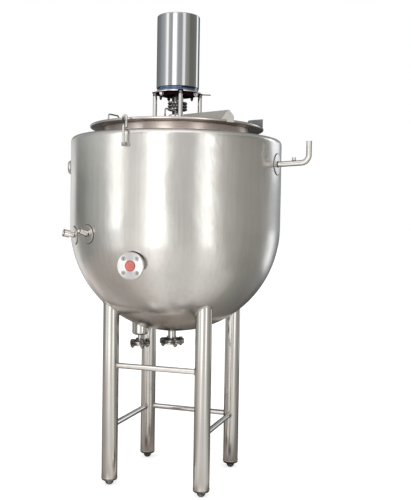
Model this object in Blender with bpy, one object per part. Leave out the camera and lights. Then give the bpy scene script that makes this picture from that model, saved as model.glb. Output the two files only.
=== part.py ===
"""Ghee boiler: a jacketed pan with a hemispherical bottom on four legs, with a lid, a top drive and an anchor agitator.

Metres, +Z up, the floor at z = 0 and the origin at the middle of the outline's footprint. The front is towards -Y.
The vessel is modelled round its own axis, an empty that stands a little off the origin, because the vent pipe at
the right reaches further out than the union at the left.
"""

import math

import bmesh
import bpy
from mathutils import Matrix, Vector

# Gap left between pieces that touch, and how finely the big round shells are divided.
SEAT = 0.0003
SIDES = 48
BOTTOM_STEPS = 12
PAN_STEPS = 8

# Where the vessel's axis stands, measured from the middle of the footprint.
AXIS_X = -0.0424

# Jacket.
JACKET_R = 0.5
JACKET_WALL = 0.004
EQUATOR_Z = 1.2086
JACKET_TOP = 1.620
SHOULDER_R = 0.022
NECK_FILLET_R = 0.012

# Pan, rim and lid.
NECK_R = 0.3435
PAN_WALL = 0.005
PAN_CENTRE_Z = 1.120
RIM_Z = 1.668
RIM_PLATE = 0.004
BEAD_R = 0.006
RIM_R = 0.413
LID_THICKNESS = 0.003
LID_R = 0.3985
LID_BOTTOM = RIM_Z + RIM_PLATE + SEAT
LID_TOP = LID_BOTTOM + LID_THICKNESS

# Lid door: a front segment of the lid, hinged along a straight line in front of the drive.
DOOR_AZIMUTH = -123.5
DOOR_HINGE_OUT = 0.172
DOOR_GAP = 0.005
DOOR_LEFT = 0.270
DOOR_RIGHT = -0.225
HINGE_HEIGHT = 0.006
HINGE_PIN_R = 0.004
HINGE_KNUCKLE_R = 0.006
HINGE_PLACES = {"left": 0.130, "right": -0.070}

# Wire handles on the door: (place along the hinge, inner end, outer end), both measured on the lid.
HANDLE_WIRE_R = 0.0035
HANDLE_HEIGHT = 0.050
HANDLE_BEND = 0.010
HANDLES = {"left": (0.190, 0.206, 0.289), "right": (-0.147, 0.234, 0.322)}

# Hood and gusset.
HOOD_INNER = (0.030, -0.120)
HOOD_OUTER = (0.2230, -0.349)
HOOD_LEFT = 0.0415
HOOD_RIGHT = 0.0245
HOOD_SKIRT_TOP = 1.694
HOOD_END_SKEW = 0.33
HOOD_BOTTOM = RIM_Z
HOOD_RIDGE_OUTER = 1.721
HOOD_RIDGE_INNER = 1.7295
HOOD_RIDGE_R = 0.007
GUSSET_INNER = (0.330, -0.022)
GUSSET_OUTER = (0.4015, -0.079)
GUSSET_TOP = 1.720
GUSSET_THICKNESS = 0.004

# Latch.
LATCH_PIVOT = (-0.2235, -0.4725, 1.553)
LATCH_TOP = (-0.231, -0.372, 1.6835)
LATCH_KNEE_Z = 1.632
LATCH_ROD_R = 0.0055
LATCH_HOOK_WIDTH = 0.0132
LATCH_NOSE_Z = 1.634
LATCH_EYE_R = 0.0075
LATCH_PIN_R = 0.003

# Drive on the lid.
POST_CIRCLE_R = 0.108
POST_R = 0.010
POST_TURN = 7.0
PLATE_Z = 1.840
PLATE_THICKNESS = 0.006
PLATE_R = 0.112
PLATE_LUG_R = 0.0135
PLATE_BORE_R = 0.020
PEG_R = 0.0025
PEG_REACH = 0.159
MOTOR_FLANGE_R = 0.099
MOTOR_FLANGE_TOP = 1.866
MOTOR_BODY_R = 0.082
COVER_R = 0.1016
COVER_WALL = 0.002
COVER_TOP = 2.2046
COVER_EDGE_R = 0.004
SEAL_R = 0.042
SEAL_TOP = 1.742

# Agitator.
SHAFT_R = 0.015
SHAFT_STUB_R = 0.012
COUPLING_R = 0.0475
COUPLING_BOTTOM = 1.748
COUPLING_NECK_R = 0.0275
ANCHOR_R = 0.318
ANCHOR_WIDTH = 0.040
ANCHOR_THICKNESS = 0.008
ANCHOR_TOP = 1.420
ANCHOR_BAR_Z = 1.300

# Stand.
LEG_R = 0.037
LEG_WALL = 0.003
LEG_CIRCLE_R = 0.321
LEG_TURN = 24.1
LEG_BOTTOM = 0.035
LEG_NAMES = {"back_right": 0, "back_left": 90, "front_left": 180, "front_right": 270}
FOOT_BALL_R = 0.020
FOOT_FLAT_R = 0.008
BRACE_R = 0.0125
HIGH_BRACE_Z = 0.561
LOW_BRACE_Z = 0.272

# Fittings.
FRONT_NOZZLE_AZIMUTH = -111.6
FRONT_NOZZLE_AIM = -106.0
FRONT_NOZZLE_Z = 1.043
FRONT_NOZZLE_FACE = 0.512
FRONT_FLANGE_R = 0.0575
FRONT_FLANGE_THICKNESS = 0.016
FRONT_FLANGE_NECK_R = 0.0214
FRONT_FLANGE_HOLE_R = 0.0075
FRONT_FLANGE_HOLE_CIRCLE_R = 0.0425
FRONT_PLUG_R = 0.0195
PAD_THICKNESS = 0.004
PAD_R = 0.040
ROOT_DEPTH = 0.010

# Probe sockets: azimuth, height, upward tilt, length, (radius, place) steps of the outside, bore radius.
PROBE_BORE_DEPTH = 0.016
PROBE_SOCKETS = {
    "probe_socket_left": (-156.5, 1.163, 12.0, 0.053, [(0.0105, 0.023), (0.0165, 0.025), (0.0165, 0.053)], 0.011),
    "probe_socket_front": (-140.5, 1.171, 17.0, 0.0475, [(0.012, 0.0475)], 0.0075),
}

# Vent pipe, and the union at the left.
VENT_PAD_R = 0.0475
VENT_AZIMUTH = -23.6
VENT_Z = 1.500
VENT_R = 0.0125
VENT_BORE_R = 0.0105
VENT_LEG_OUT = 0.647
VENT_TOP = 1.603
VENT_BEND_R = 0.036
VENT_RISE = 0.05
VENT_STUB_OUT = 0.578
VENT_STUB_R = 0.0085
VENT_STUB_TOP = 1.5305
UNION_PAD_R = 0.030
UNION_AZIMUTH = 176.0
UNION_Z = 1.485

# Outlet and drain under the bottom. The outlet stands a little to the left of the vessel's axis.
OUTLET_X = -0.0103
OUTLET_R = 0.020
OUTLET_BORE_R = 0.017
OUTLET_FLANGE_R = 0.059
OUTLET_FLANGE_TOP = 0.667
OUTLET_FLANGE_BOTTOM = 0.646
DRAIN_X = -0.163
DRAIN_Y = -0.030
DRAIN_POT_R = 0.038
DRAIN_POT_BOTTOM = 0.691
DRAIN_STEM_R = 0.0105
DRAIN_FLANGE_R = 0.0475
DRAIN_FLANGE_TOP = 0.661
DRAIN_FLANGE_BOTTOM = 0.641

# Carries an outline drawn in the YZ plane to where it is extruded along X.
ACROSS_X = Matrix(((0.0, 0.0, 1.0, 0.0), (1.0, 0.0, 0.0, 0.0), (0.0, 1.0, 0.0, 0.0), (0.0, 0.0, 0.0, 1.0)))


def clear_scene():
    for item in list(bpy.data.objects):
        bpy.data.objects.remove(item, do_unlink=True)


def material(name, colour, roughness, metallic):
    finish = bpy.data.materials.new(name)
    finish.use_nodes = True
    shader = finish.node_tree.nodes["Principled BSDF"]
    shader.inputs["Base Color"].default_value = (*colour, 1.0)
    shader.inputs["Roughness"].default_value = roughness
    shader.inputs["Metallic"].default_value = metallic
    return finish


def empty(name, place, parent=None):
    marker = bpy.data.objects.new(name, None)
    marker.matrix_local = place
    marker.parent = parent
    bpy.context.scene.collection.objects.link(marker)
    return marker


def add_object(name, builder, finish, parent, place=None):
    """Closes a bmesh into an object with smooth round faces."""
    bmesh.ops.remove_doubles(builder, verts=builder.verts, dist=1e-6)
    bmesh.ops.recalc_face_normals(builder, faces=builder.faces)
    mesh = bpy.data.meshes.new(name)
    builder.to_mesh(mesh)
    builder.free()
    mesh.shade_smooth()
    mesh.set_sharp_from_angle(angle=math.radians(30))
    mesh.materials.append(finish)
    item = bpy.data.objects.new(name, mesh)
    item.parent = parent
    if place is not None:
        item.matrix_local = place
    bpy.context.scene.collection.objects.link(item)
    return item


def turn(builder, outline, sides=SIDES, place=None):
    """Spins a closed outline of (radius, height) points round the local Z axis."""
    points = [builder.verts.new((radius, 0.0, height)) for radius, height in outline]
    pairs = zip(points, points[1:] + points[:1])
    edges = [builder.edges.new(pair) for pair in pairs if pair[0].co.x > 1e-9 or pair[1].co.x > 1e-9]
    before = set(builder.verts) - set(points)
    bmesh.ops.spin(
        builder, geom=points + edges, cent=(0, 0, 0), axis=(0, 0, 1), angle=math.tau, steps=sides, use_merge=True
    )
    if place is not None:
        made = [vert for vert in builder.verts if vert not in before]
        bmesh.ops.transform(builder, matrix=place, verts=made)


def turned(name, outline, finish, parent, place=None, sides=SIDES):
    builder = bmesh.new()
    turn(builder, outline, sides)
    return add_object(name, builder, finish, parent, place)


def turned_bottom(name, outline, finish, parent):
    """A turned shell whose hole in the bottom is moved over to the outlet."""
    builder = bmesh.new()
    turn(builder, outline)
    hole = [vert for vert in builder.verts if vert.co.xy.length < OUTLET_R + 0.001]
    bmesh.ops.translate(builder, vec=(OUTLET_X, 0.0, 0.0), verts=hole)
    return add_object(name, builder, finish, parent)


def rod_outline(radius, low, high):
    return [(0.0, low), (radius, low), (radius, high), (0.0, high)]


def tube_outline(outer, inner, low, high):
    return [(inner, low), (outer, low), (outer, high), (inner, high)]


def arc(centre, radius, start, end, steps):
    """Points of an arc in a plane, angles in degrees from the first axis."""
    return [
        (
            centre[0] + radius * math.cos(math.radians(start + (end - start) * i / steps)),
            centre[1] + radius * math.sin(math.radians(start + (end - start) * i / steps)),
        )
        for i in range(steps + 1)
    ]


def prism(builder, outline, low, high, place=None):
    """Extrudes a closed outline in the local XY plane from one height to another."""
    face = builder.faces.new([builder.verts.new((x, y, low)) for x, y in outline])
    made = bmesh.ops.extrude_face_region(builder, geom=[face])["geom"]
    top = [item for item in made if isinstance(item, bmesh.types.BMVert)]
    bmesh.ops.translate(builder, vec=(0, 0, high - low), verts=top)
    if place is not None:
        bmesh.ops.transform(builder, matrix=place, verts=list(face.verts) + top)


def prism_object(name, outline, low, high, finish, parent, place=None):
    builder = bmesh.new()
    prism(builder, outline, low, high, place)
    return add_object(name, builder, finish, parent)


def box_outline(x_low, x_high, y_low, y_high):
    return [(x_low, y_low), (x_high, y_low), (x_high, y_high), (x_low, y_high)]


def rings_along(points, radius, sides):
    """Circles of vertices round a path, with frames carried along it without twist."""
    path = [Vector(point) for point in points]
    tangents = []
    for i in range(len(path)):
        ahead = path[min(i + 1, len(path) - 1)] - path[i]
        behind = path[i] - path[max(i - 1, 0)]
        tangents.append((ahead.normalized() + behind.normalized()).normalized())
    side = tangents[0].orthogonal().normalized()
    rings = []
    for place, tangent in zip(path, tangents):
        side = (side - tangent * side.dot(tangent)).normalized()
        across = tangent.cross(side)
        rings.append(
            [
                place
                + radius * (side * math.cos(math.tau * k / sides) + across * math.sin(math.tau * k / sides))
                for k in range(sides)
            ]
        )
    return rings


def sweep(builder, points, outer, inner=None, sides=16):
    """A rod, or a tube where an inner radius is given, along a path."""

    def skin(radius):
        rings = [[builder.verts.new(co) for co in ring] for ring in rings_along(points, radius, sides)]
        for low, high in zip(rings, rings[1:]):
            for k in range(sides):
                builder.faces.new((low[k], low[(k + 1) % sides], high[(k + 1) % sides], high[k]))
        return rings

    outside = skin(outer)
    if inner is None:
        builder.faces.new(reversed(outside[0]))
        builder.faces.new(outside[-1])
        return
    inside = skin(inner)
    for end in (0, -1):
        for k in range(sides):
            builder.faces.new(
                (outside[end][k], outside[end][(k + 1) % sides], inside[end][(k + 1) % sides], inside[end][k])
            )


def combine(target, other, operation):
    """Joins or cuts with a Boolean whose second body is hidden and left out of the model."""
    other.hide_render = True
    other.display_type = "WIRE"
    step = target.modifiers.new(operation.lower() + "_" + other.name, "BOOLEAN")
    step.operation = operation
    step.solver = "EXACT"
    step.object = other


def radial_place(azimuth, height, out, tilt=0.0):
    """Local +Z points outwards along an azimuth, raised by the tilt, and local +Y is level."""
    turn_z = Matrix.Rotation(math.radians(azimuth), 4, "Z")
    lean = Matrix.Rotation(math.radians(90.0 - tilt), 4, "Y")
    return turn_z @ Matrix.Translation((out, 0.0, height)) @ lean


def aimed_place(azimuth, height, out, aim):
    """Like a radial place, but turned level so that local +Z points along another azimuth."""
    spot = Matrix.Rotation(math.radians(azimuth), 4, "Z") @ Vector((out, 0.0, height))
    turn_z = Matrix.Rotation(math.radians(aim), 4, "Z")
    return Matrix.Translation(spot) @ turn_z @ Matrix.Rotation(math.radians(90.0), 4, "Y")


def jacket_radius(height):
    """Radius of the jacket's outside at a height below its shoulder."""
    drop = max(EQUATOR_Z - height, 0.0)
    return math.sqrt(JACKET_R**2 - drop**2)


def pad(builder, azimuth, height, radius, rings=2, sectors=24):
    """A round weld pad that follows the jacket: discs of points laid under its outside and over it."""

    def laid(distance, angle, offset):
        along = distance * math.cos(angle)
        up = distance * math.sin(angle)
        level = height + up
        out = jacket_radius(level)
        turn_to = math.radians(azimuth) + along / out
        slope = math.asin(min(max(EQUATOR_Z - level, 0.0) / JACKET_R, 1.0))
        wide = out + offset * math.cos(slope)
        return Vector((wide * math.cos(turn_to), wide * math.sin(turn_to), level - offset * math.sin(slope)))

    layers = []
    for offset, reach in ((-PAD_THICKNESS, radius), (PAD_THICKNESS, radius - 0.0015)):
        centre = builder.verts.new(laid(0.0, 0.0, offset))
        loops = [
            [builder.verts.new(laid(reach * (j + 1) / rings, math.tau * k / sectors, offset)) for k in range(sectors)]
            for j in range(rings)
        ]
        for k in range(sectors):
            builder.faces.new((centre, loops[0][k], loops[0][(k + 1) % sectors]))
            for inner, outer in zip(loops, loops[1:]):
                builder.faces.new((inner[k], outer[k], outer[(k + 1) % sectors], inner[(k + 1) % sectors]))
        layers.append(loops[-1])
    low, high = layers
    for k in range(sectors):
        builder.faces.new((low[k], low[(k + 1) % sectors], high[(k + 1) % sectors], high[k]))


def pad_object(name, azimuth, height, finish, parent, radius=PAD_R):
    builder = bmesh.new()
    pad(builder, azimuth, height, radius)
    return add_object(name, builder, finish, parent)


def bottom_outline(radius, low_radius, steps):
    """The quarter circle of a hemispherical bottom, from the equator down to a hole of the given radius."""
    last = math.degrees(math.acos(low_radius / radius))
    return arc((0.0, 0.0), radius, 0.0, -last, steps)


def jacket_cutter(finish, parent):
    """The jacket below its shoulder as a solid, grown by the seat gap, to cut what stands against it."""
    radius = JACKET_R + SEAT
    outside = bottom_outline(radius, (OUTLET_R + SEAT) * radius / JACKET_R, BOTTOM_STEPS)
    lowest = EQUATOR_Z + outside[-1][1]
    top = JACKET_TOP - SHOULDER_R
    outline = [(r, EQUATOR_Z + z) for r, z in outside] + [(0.0, lowest), (0.0, top), (radius, top)]
    return turned("jacket_shape", outline, finish, parent)


def build_jacket(steel, vessel):
    inner_r = JACKET_R - JACKET_WALL
    wall_top = JACKET_TOP - SHOULDER_R
    turned(
        "jacket_wall", tube_outline(JACKET_R, inner_r, EQUATOR_Z + SEAT, wall_top - SEAT), steel, vessel
    )
    centre = (JACKET_R - SHOULDER_R, wall_top)
    outside = arc(centre, SHOULDER_R, 0.0, 90.0, 5)
    inside = arc(centre, SHOULDER_R - JACKET_WALL, 90.0, 0.0, 5)
    neck = NECK_R + SEAT
    fillet = arc((neck + NECK_FILLET_R, JACKET_TOP + NECK_FILLET_R), NECK_FILLET_R, 270.0, 180.0, 5)
    edge = [(neck, JACKET_TOP - JACKET_WALL)]
    turned("jacket_shoulder", outside + fillet + edge + inside, steel, vessel)
    hole = OUTLET_R + SEAT
    outside = bottom_outline(JACKET_R, hole, BOTTOM_STEPS)
    inside = bottom_outline(inner_r, hole, BOTTOM_STEPS)
    outline = [(r, EQUATOR_Z + z) for r, z in outside] + [(r, EQUATOR_Z + z) for r, z in reversed(inside)]
    turned_bottom("jacket_bottom", outline, steel, vessel)


def build_pan(steel, vessel):
    inner_r = NECK_R - PAN_WALL
    hole = OUTLET_R + SEAT
    outside = bottom_outline(NECK_R, hole, PAN_STEPS)
    inside = bottom_outline(inner_r, hole, PAN_STEPS)
    top = RIM_Z - SEAT
    outline = (
        [(NECK_R, top)]
        + [(r, PAN_CENTRE_Z + z) for r, z in outside]
        + [(r, PAN_CENTRE_Z + z) for r, z in reversed(inside)]
        + [(inner_r, top)]
    )
    turned_bottom("inner_pan", outline, steel, vessel)
    bead_centre = (RIM_R - BEAD_R, RIM_Z + BEAD_R)
    plate_top = RIM_Z + RIM_PLATE
    meet = math.degrees(math.asin((RIM_PLATE - BEAD_R) / BEAD_R))
    bead = arc(bead_centre, BEAD_R, -90.0, 180.0 - meet, 8)
    turned("rim_ring", [(inner_r, plate_top), (inner_r, RIM_Z)] + bead, steel, vessel)


def door_place():
    """Frame of the door: origin on the hinge axis, +Y outwards over the door, +Z up, +X along the hinge axis."""
    turn_z = Matrix.Rotation(math.radians(DOOR_AZIMUTH - 90.0), 4, "Z")
    return turn_z @ Matrix.Translation((0.0, DOOR_HINGE_OUT, LID_TOP + HINGE_HEIGHT))


def door_outline(grow):
    """The door in the hinge frame, grown by the given margin: three straight edges and an arc of the lid's circle."""
    radius = LID_R - DOOR_GAP / 2 + grow
    left = DOOR_LEFT + grow
    right = DOOR_RIGHT - grow
    inner = DOOR_GAP - grow * 2
    start = math.degrees(math.acos(left / radius))
    end = math.degrees(math.acos(right / radius))
    return [(right, inner), (left, inner)] + arc((0.0, -DOOR_HINGE_OUT), radius, start, end, 14)


def build_lid(steel, vessel, door_axis, door_frame):
    outline = tube_outline(LID_R, SHAFT_R + 0.003, LID_BOTTOM, LID_TOP)
    lid = turned("lid_fixed", outline, steel, vessel)
    floor = -(LID_TOP + HINGE_HEIGHT) + LID_BOTTOM
    cut = prism_object(
        "door_opening", door_outline(DOOR_GAP), floor - 0.01, floor + 0.02, steel, vessel, door_frame
    )
    combine(lid, cut, "DIFFERENCE")

    low = -HINGE_HEIGHT - LID_THICKNESS
    door = prism_object("lid_door", door_outline(0.0), low, -HINGE_HEIGHT, steel, door_axis)
    for side, along in HINGE_PLACES.items():
        builder = bmesh.new()
        across = Matrix.Translation((along, 0.0, 0.0)) @ Matrix.Rotation(math.radians(90.0), 4, "Y")
        turn(builder, rod_outline(HINGE_KNUCKLE_R, -0.014, 0.014), 16, across)
        knuckle = add_object("knuckle_" + side, builder, steel, door_axis)
        leaf = prism_object(
            "leaf_" + side,
            box_outline(along - 0.0135, along + 0.0135, 0.0, 0.026),
            -HINGE_HEIGHT - 0.001,
            -0.0022,
            steel,
            door_axis,
        )
        builder = bmesh.new()
        turn(builder, rod_outline(HINGE_PIN_R + SEAT, -0.03, 0.03), 16, across)
        bore = add_object("pin_bore_" + side, builder, steel, door_axis)
        combine(door, knuckle, "UNION")
        combine(door, leaf, "UNION")
        combine(door, bore, "DIFFERENCE")


def build_door_hinges(steel, vessel, door_frame):
    """Two fixed hinge halves: a base on the lid, two ears and the pin between them."""
    seat = -HINGE_HEIGHT + SEAT
    ear_shape = [(-0.018, seat), (-0.010, seat)] + arc((0.0, 0.0), 0.0062, -120.0, 120.0, 8)
    for side, along in HINGE_PLACES.items():
        builder = bmesh.new()
        prism(builder, box_outline(along - 0.030, along + 0.030, -0.040, -0.0105), seat, seat + 0.004, door_frame)
        base = add_object("door_hinge_" + side, builder, steel, vessel)
        for end, low, high in (("inner", -0.0205, -0.0145), ("outer", 0.0145, 0.0205)):
            builder = bmesh.new()
            prism(builder, ear_shape, along + low, along + high, door_frame @ ACROSS_X)
            ear = add_object("ear_" + end + "_" + side, builder, steel, vessel)
            combine(base, ear, "UNION")
        builder = bmesh.new()
        pin_place = door_frame @ Matrix.Translation((along, 0.0, 0.0)) @ Matrix.Rotation(math.radians(90.0), 4, "Y")
        turn(builder, rod_outline(HINGE_PIN_R, -0.0200, 0.0200), 16, pin_place)
        pin = add_object("pin_" + side, builder, steel, vessel)
        combine(base, pin, "UNION")


def build_handles(steel, door_axis):
    for side, (along, inner, outer) in HANDLES.items():
        low = -HINGE_HEIGHT + SEAT
        high = low + HANDLE_HEIGHT - HANDLE_WIRE_R
        near = inner - DOOR_HINGE_OUT + HANDLE_WIRE_R
        far = outer - DOOR_HINGE_OUT - HANDLE_WIRE_R
        first = arc((near + HANDLE_BEND, high - HANDLE_BEND), HANDLE_BEND, 180.0, 90.0, 4)
        second = arc((far - HANDLE_BEND, high - HANDLE_BEND), HANDLE_BEND, 90.0, 0.0, 4)
        route = [(near, low)] + first + second + [(far, low)]
        builder = bmesh.new()
        sweep(builder, [(along, y, z) for y, z in route], HANDLE_WIRE_R, sides=10)
        add_object("door_handle_" + side, builder, steel, door_axis)


def lid_and_rim_cutter(steel, vessel):
    """The lid plate and the rim's bead, grown by the seat gap, to notch what stands across them."""
    bead_centre = (RIM_R - BEAD_R, RIM_Z + BEAD_R)
    bead = arc(bead_centre, BEAD_R + SEAT, 0.0, 180.0, 8)
    low = RIM_Z - 0.02
    high = LID_TOP + SEAT
    outline = [(0.0, low), (RIM_R + SEAT, low)] + bead + [(RIM_R - 2 * BEAD_R - SEAT, high), (0.0, high)]
    return turned("lid_and_rim_shape", outline, steel, vessel)


def build_hood(steel, vessel, notch):
    """A folded sheet with a rounded ridge and an upright skirt at the right, whose skewed end laps over the bead."""
    inner = Vector((*HOOD_INNER, 0.0))
    outer = Vector((*HOOD_OUTER, 0.0))
    along = (outer - inner).normalized()
    left = Vector((along.y, -along.x, 0.0))
    length = (outer - inner).length
    builder = bmesh.new()
    ends = []
    for distance, ridge, skew in ((0.0, HOOD_RIDGE_INNER, 0.0), (length, HOOD_RIDGE_OUTER, HOOD_END_SKEW)):
        crown = arc((0.0, ridge - HOOD_RIDGE_R), HOOD_RIDGE_R, 35.0, 145.0, 6)
        section = [(-HOOD_RIGHT, HOOD_BOTTOM), (HOOD_LEFT, HOOD_BOTTOM)] + crown + [(-HOOD_RIGHT, HOOD_SKIRT_TOP)]
        places = [inner + along * (distance - skew * n) + left * n + Vector((0, 0, z)) for n, z in section]
        ends.append([builder.verts.new(place) for place in places])
    near, far = ends
    count = len(near)
    builder.faces.new(near)
    builder.faces.new(list(reversed(far)))
    for k in range(count):
        builder.faces.new((near[k], near[(k + 1) % count], far[(k + 1) % count], far[k]))
    hood = add_object("lid_hood", builder, steel, vessel)
    combine(hood, notch, "DIFFERENCE")


def build_gusset(steel, vessel, notch):
    inner = Vector((*GUSSET_INNER, 0.0))
    outer = Vector((*GUSSET_OUTER, 0.0))
    along = (outer - inner).normalized()
    frame = Matrix(
        (
            (along.x, 0.0, along.y, inner.x),
            (along.y, 0.0, -along.x, inner.y),
            (0.0, 1.0, 0.0, 0.0),
            (0.0, 0.0, 0.0, 1.0),
        )
    )
    length = (outer - inner).length
    shape = [(0.0, RIM_Z), (length, RIM_Z), (length, GUSSET_TOP), (length * 0.15, GUSSET_TOP), (0.0, RIM_Z + 0.03)]
    half = GUSSET_THICKNESS / 2
    gusset = prism_object("rim_gusset", shape, -half, half, steel, vessel, frame)
    combine(gusset, notch, "DIFFERENCE")


def latch_frame():
    """Origin on the latch's pivot, +X along its pin, +Z up, so that a turn about +X swings the hook outwards."""
    pivot = Vector(LATCH_PIVOT)
    inward = Vector((LATCH_TOP[0] - pivot.x, LATCH_TOP[1] - pivot.y, 0.0)).normalized()
    pin = Vector((inward.y, -inward.x, 0.0))
    return Matrix(
        (
            (pin.x, inward.x, 0.0, pivot.x),
            (pin.y, inward.y, 0.0, pivot.y),
            (0.0, 0.0, 1.0, pivot.z),
            (0.0, 0.0, 0.0, 1.0),
        )
    )


def build_latch(steel, vessel, latch_axis, frame, jacket):
    pivot = Vector(LATCH_PIVOT)
    reach = (Vector(LATCH_TOP[:2]) - pivot.xy).length
    top = LATCH_TOP[2] - pivot.z
    knee = LATCH_KNEE_Z - pivot.z
    nose = LATCH_NOSE_Z - pivot.z
    half = LATCH_HOOK_WIDTH / 2
    crown = arc((half, top - half), half, 180.0, 0.0, 6)
    route = (
        [(0.0, 0.0, LATCH_EYE_R * 0.6), (0.0, 0.0, knee * 0.85), (0.0, 0.006, knee * 0.97), (0.0, 0.018, knee + 0.006)]
        + [(0.0, reach - 0.014, top - half - 0.011), (0.0, reach - 0.003, top - half - 0.005)]
        + [(x, reach, z) for x, z in crown]
        + [(LATCH_HOOK_WIDTH, reach, nose)]
    )
    builder = bmesh.new()
    sweep(builder, route, LATCH_ROD_R, sides=10)
    hook = add_object("latch_hook", builder, steel, latch_axis)
    across = Matrix.Rotation(math.radians(90.0), 4, "Y")
    builder = bmesh.new()
    turn(builder, rod_outline(LATCH_EYE_R, -0.0052, 0.0052), 16, across)
    eye = add_object("latch_eye", builder, steel, latch_axis)
    builder = bmesh.new()
    turn(builder, rod_outline(LATCH_PIN_R + SEAT, -0.02, 0.02), 16, across)
    bore = add_object("latch_bore", builder, steel, latch_axis)
    combine(hook, eye, "UNION")
    combine(hook, bore, "DIFFERENCE")

    builder = bmesh.new()
    prism(builder, box_outline(-0.0080, 0.0080, 0.0115, 0.0195), -0.0085, 0.0085, frame)
    bracket = add_object("latch_bracket", builder, steel, vessel)
    for name, low, high in (("left", -0.0078, -0.0058), ("right", 0.0058, 0.0078)):
        builder = bmesh.new()
        prism(builder, box_outline(low, high, -0.005, 0.013), -0.006, 0.006, frame)
        ear = add_object("latch_ear_" + name, builder, steel, vessel)
        combine(bracket, ear, "UNION")
    builder = bmesh.new()
    turn(builder, rod_outline(LATCH_PIN_R, -0.0074, 0.0074), 16, frame @ across)
    pin = add_object("latch_pin", builder, steel, vessel)
    combine(bracket, pin, "UNION")
    foot = pad_object(
        "latch_foot",
        math.degrees(math.atan2(LATCH_PIVOT[1], LATCH_PIVOT[0])),
        LATCH_PIVOT[2],
        steel,
        vessel,
        radius=0.012,
    )
    combine(bracket, foot, "UNION")
    combine(bracket, jacket, "DIFFERENCE")


def build_drive(steel, blue, vessel):
    turned(
        "shaft_seal_housing",
        [
            (SHAFT_R + 0.001, LID_TOP + SEAT),
            (SEAL_R + 0.012, LID_TOP + SEAT),
            (SEAL_R + 0.012, LID_TOP + 0.010),
            (SEAL_R, LID_TOP + 0.010),
            (SEAL_R, SEAL_TOP - 0.004),
            (SEAL_R - 0.004, SEAL_TOP),
            (SHAFT_R + 0.001, SEAL_TOP),
        ],
        steel,
        vessel,
        sides=32,
    )
    for name, azimuth in {"front": -90, "right": 0, "back": 90, "left": 180}.items():
        angle = math.radians(azimuth + POST_TURN)
        place = Matrix.Translation((POST_CIRCLE_R * math.cos(angle), POST_CIRCLE_R * math.sin(angle), 0.0))
        outline = rod_outline(POST_R, LID_TOP + SEAT, PLATE_Z - SEAT)
        turned("stand_post_" + name, outline, steel, vessel, place, sides=20)

    top = PLATE_Z + PLATE_THICKNESS
    plate = turned("motor_plate", tube_outline(PLATE_R, PLATE_BORE_R, PLATE_Z, top), steel, vessel, sides=40)
    for i in range(4):
        angle = math.radians(90.0 * i + POST_TURN)
        place = Matrix.Translation((POST_CIRCLE_R * math.cos(angle), POST_CIRCLE_R * math.sin(angle), 0.0))
        outline = rod_outline(PLATE_LUG_R, PLATE_Z + 0.0002, top - 0.0002)
        lug = turned("plate_lug_%d" % i, outline, steel, vessel, place, sides=20)
        combine(plate, lug, "UNION")
    across = Matrix.Translation((0.0, POST_CIRCLE_R * math.sin(math.radians(POST_TURN)), PLATE_Z + PEG_R + 0.0004))
    peg = turned(
        "plate_peg",
        rod_outline(PEG_R, POST_CIRCLE_R + 0.004, PEG_REACH),
        steel,
        vessel,
        across @ Matrix.Rotation(math.radians(90.0), 4, "Y"),
        sides=12,
    )
    combine(plate, peg, "UNION")

    low = top + SEAT
    bore = SHAFT_STUB_R + SEAT
    turned(
        "gear_motor",
        [
            (0.0, MOTOR_FLANGE_TOP + 0.27),
            (0.0, low + 0.017),
            (bore, low + 0.017),
            (bore, low),
            (MOTOR_FLANGE_R - 0.002, low),
            (MOTOR_FLANGE_R, low + 0.002),
            (MOTOR_FLANGE_R, MOTOR_FLANGE_TOP - 0.002),
            (MOTOR_FLANGE_R - 0.002, MOTOR_FLANGE_TOP),
            (MOTOR_BODY_R, MOTOR_FLANGE_TOP),
            (MOTOR_BODY_R, MOTOR_FLANGE_TOP + 0.27),
        ],
        blue,
        vessel,
        sides=40,
    )
    low = MOTOR_FLANGE_TOP + SEAT
    inner = COVER_R - COVER_WALL
    corner = arc((COVER_R - COVER_EDGE_R, COVER_TOP - COVER_EDGE_R), COVER_EDGE_R, 0.0, 90.0, 4)
    lip = MOTOR_FLANGE_R - 0.004
    turned(
        "motor_cover",
        [(COVER_R, low)]
        + corner
        + [(0.0, COVER_TOP), (0.0, COVER_TOP - COVER_WALL), (inner, COVER_TOP - COVER_WALL)]
        + [(inner, low + COVER_WALL), (lip, low + COVER_WALL), (lip, low)],
        steel,
        vessel,
        sides=40,
    )


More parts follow.
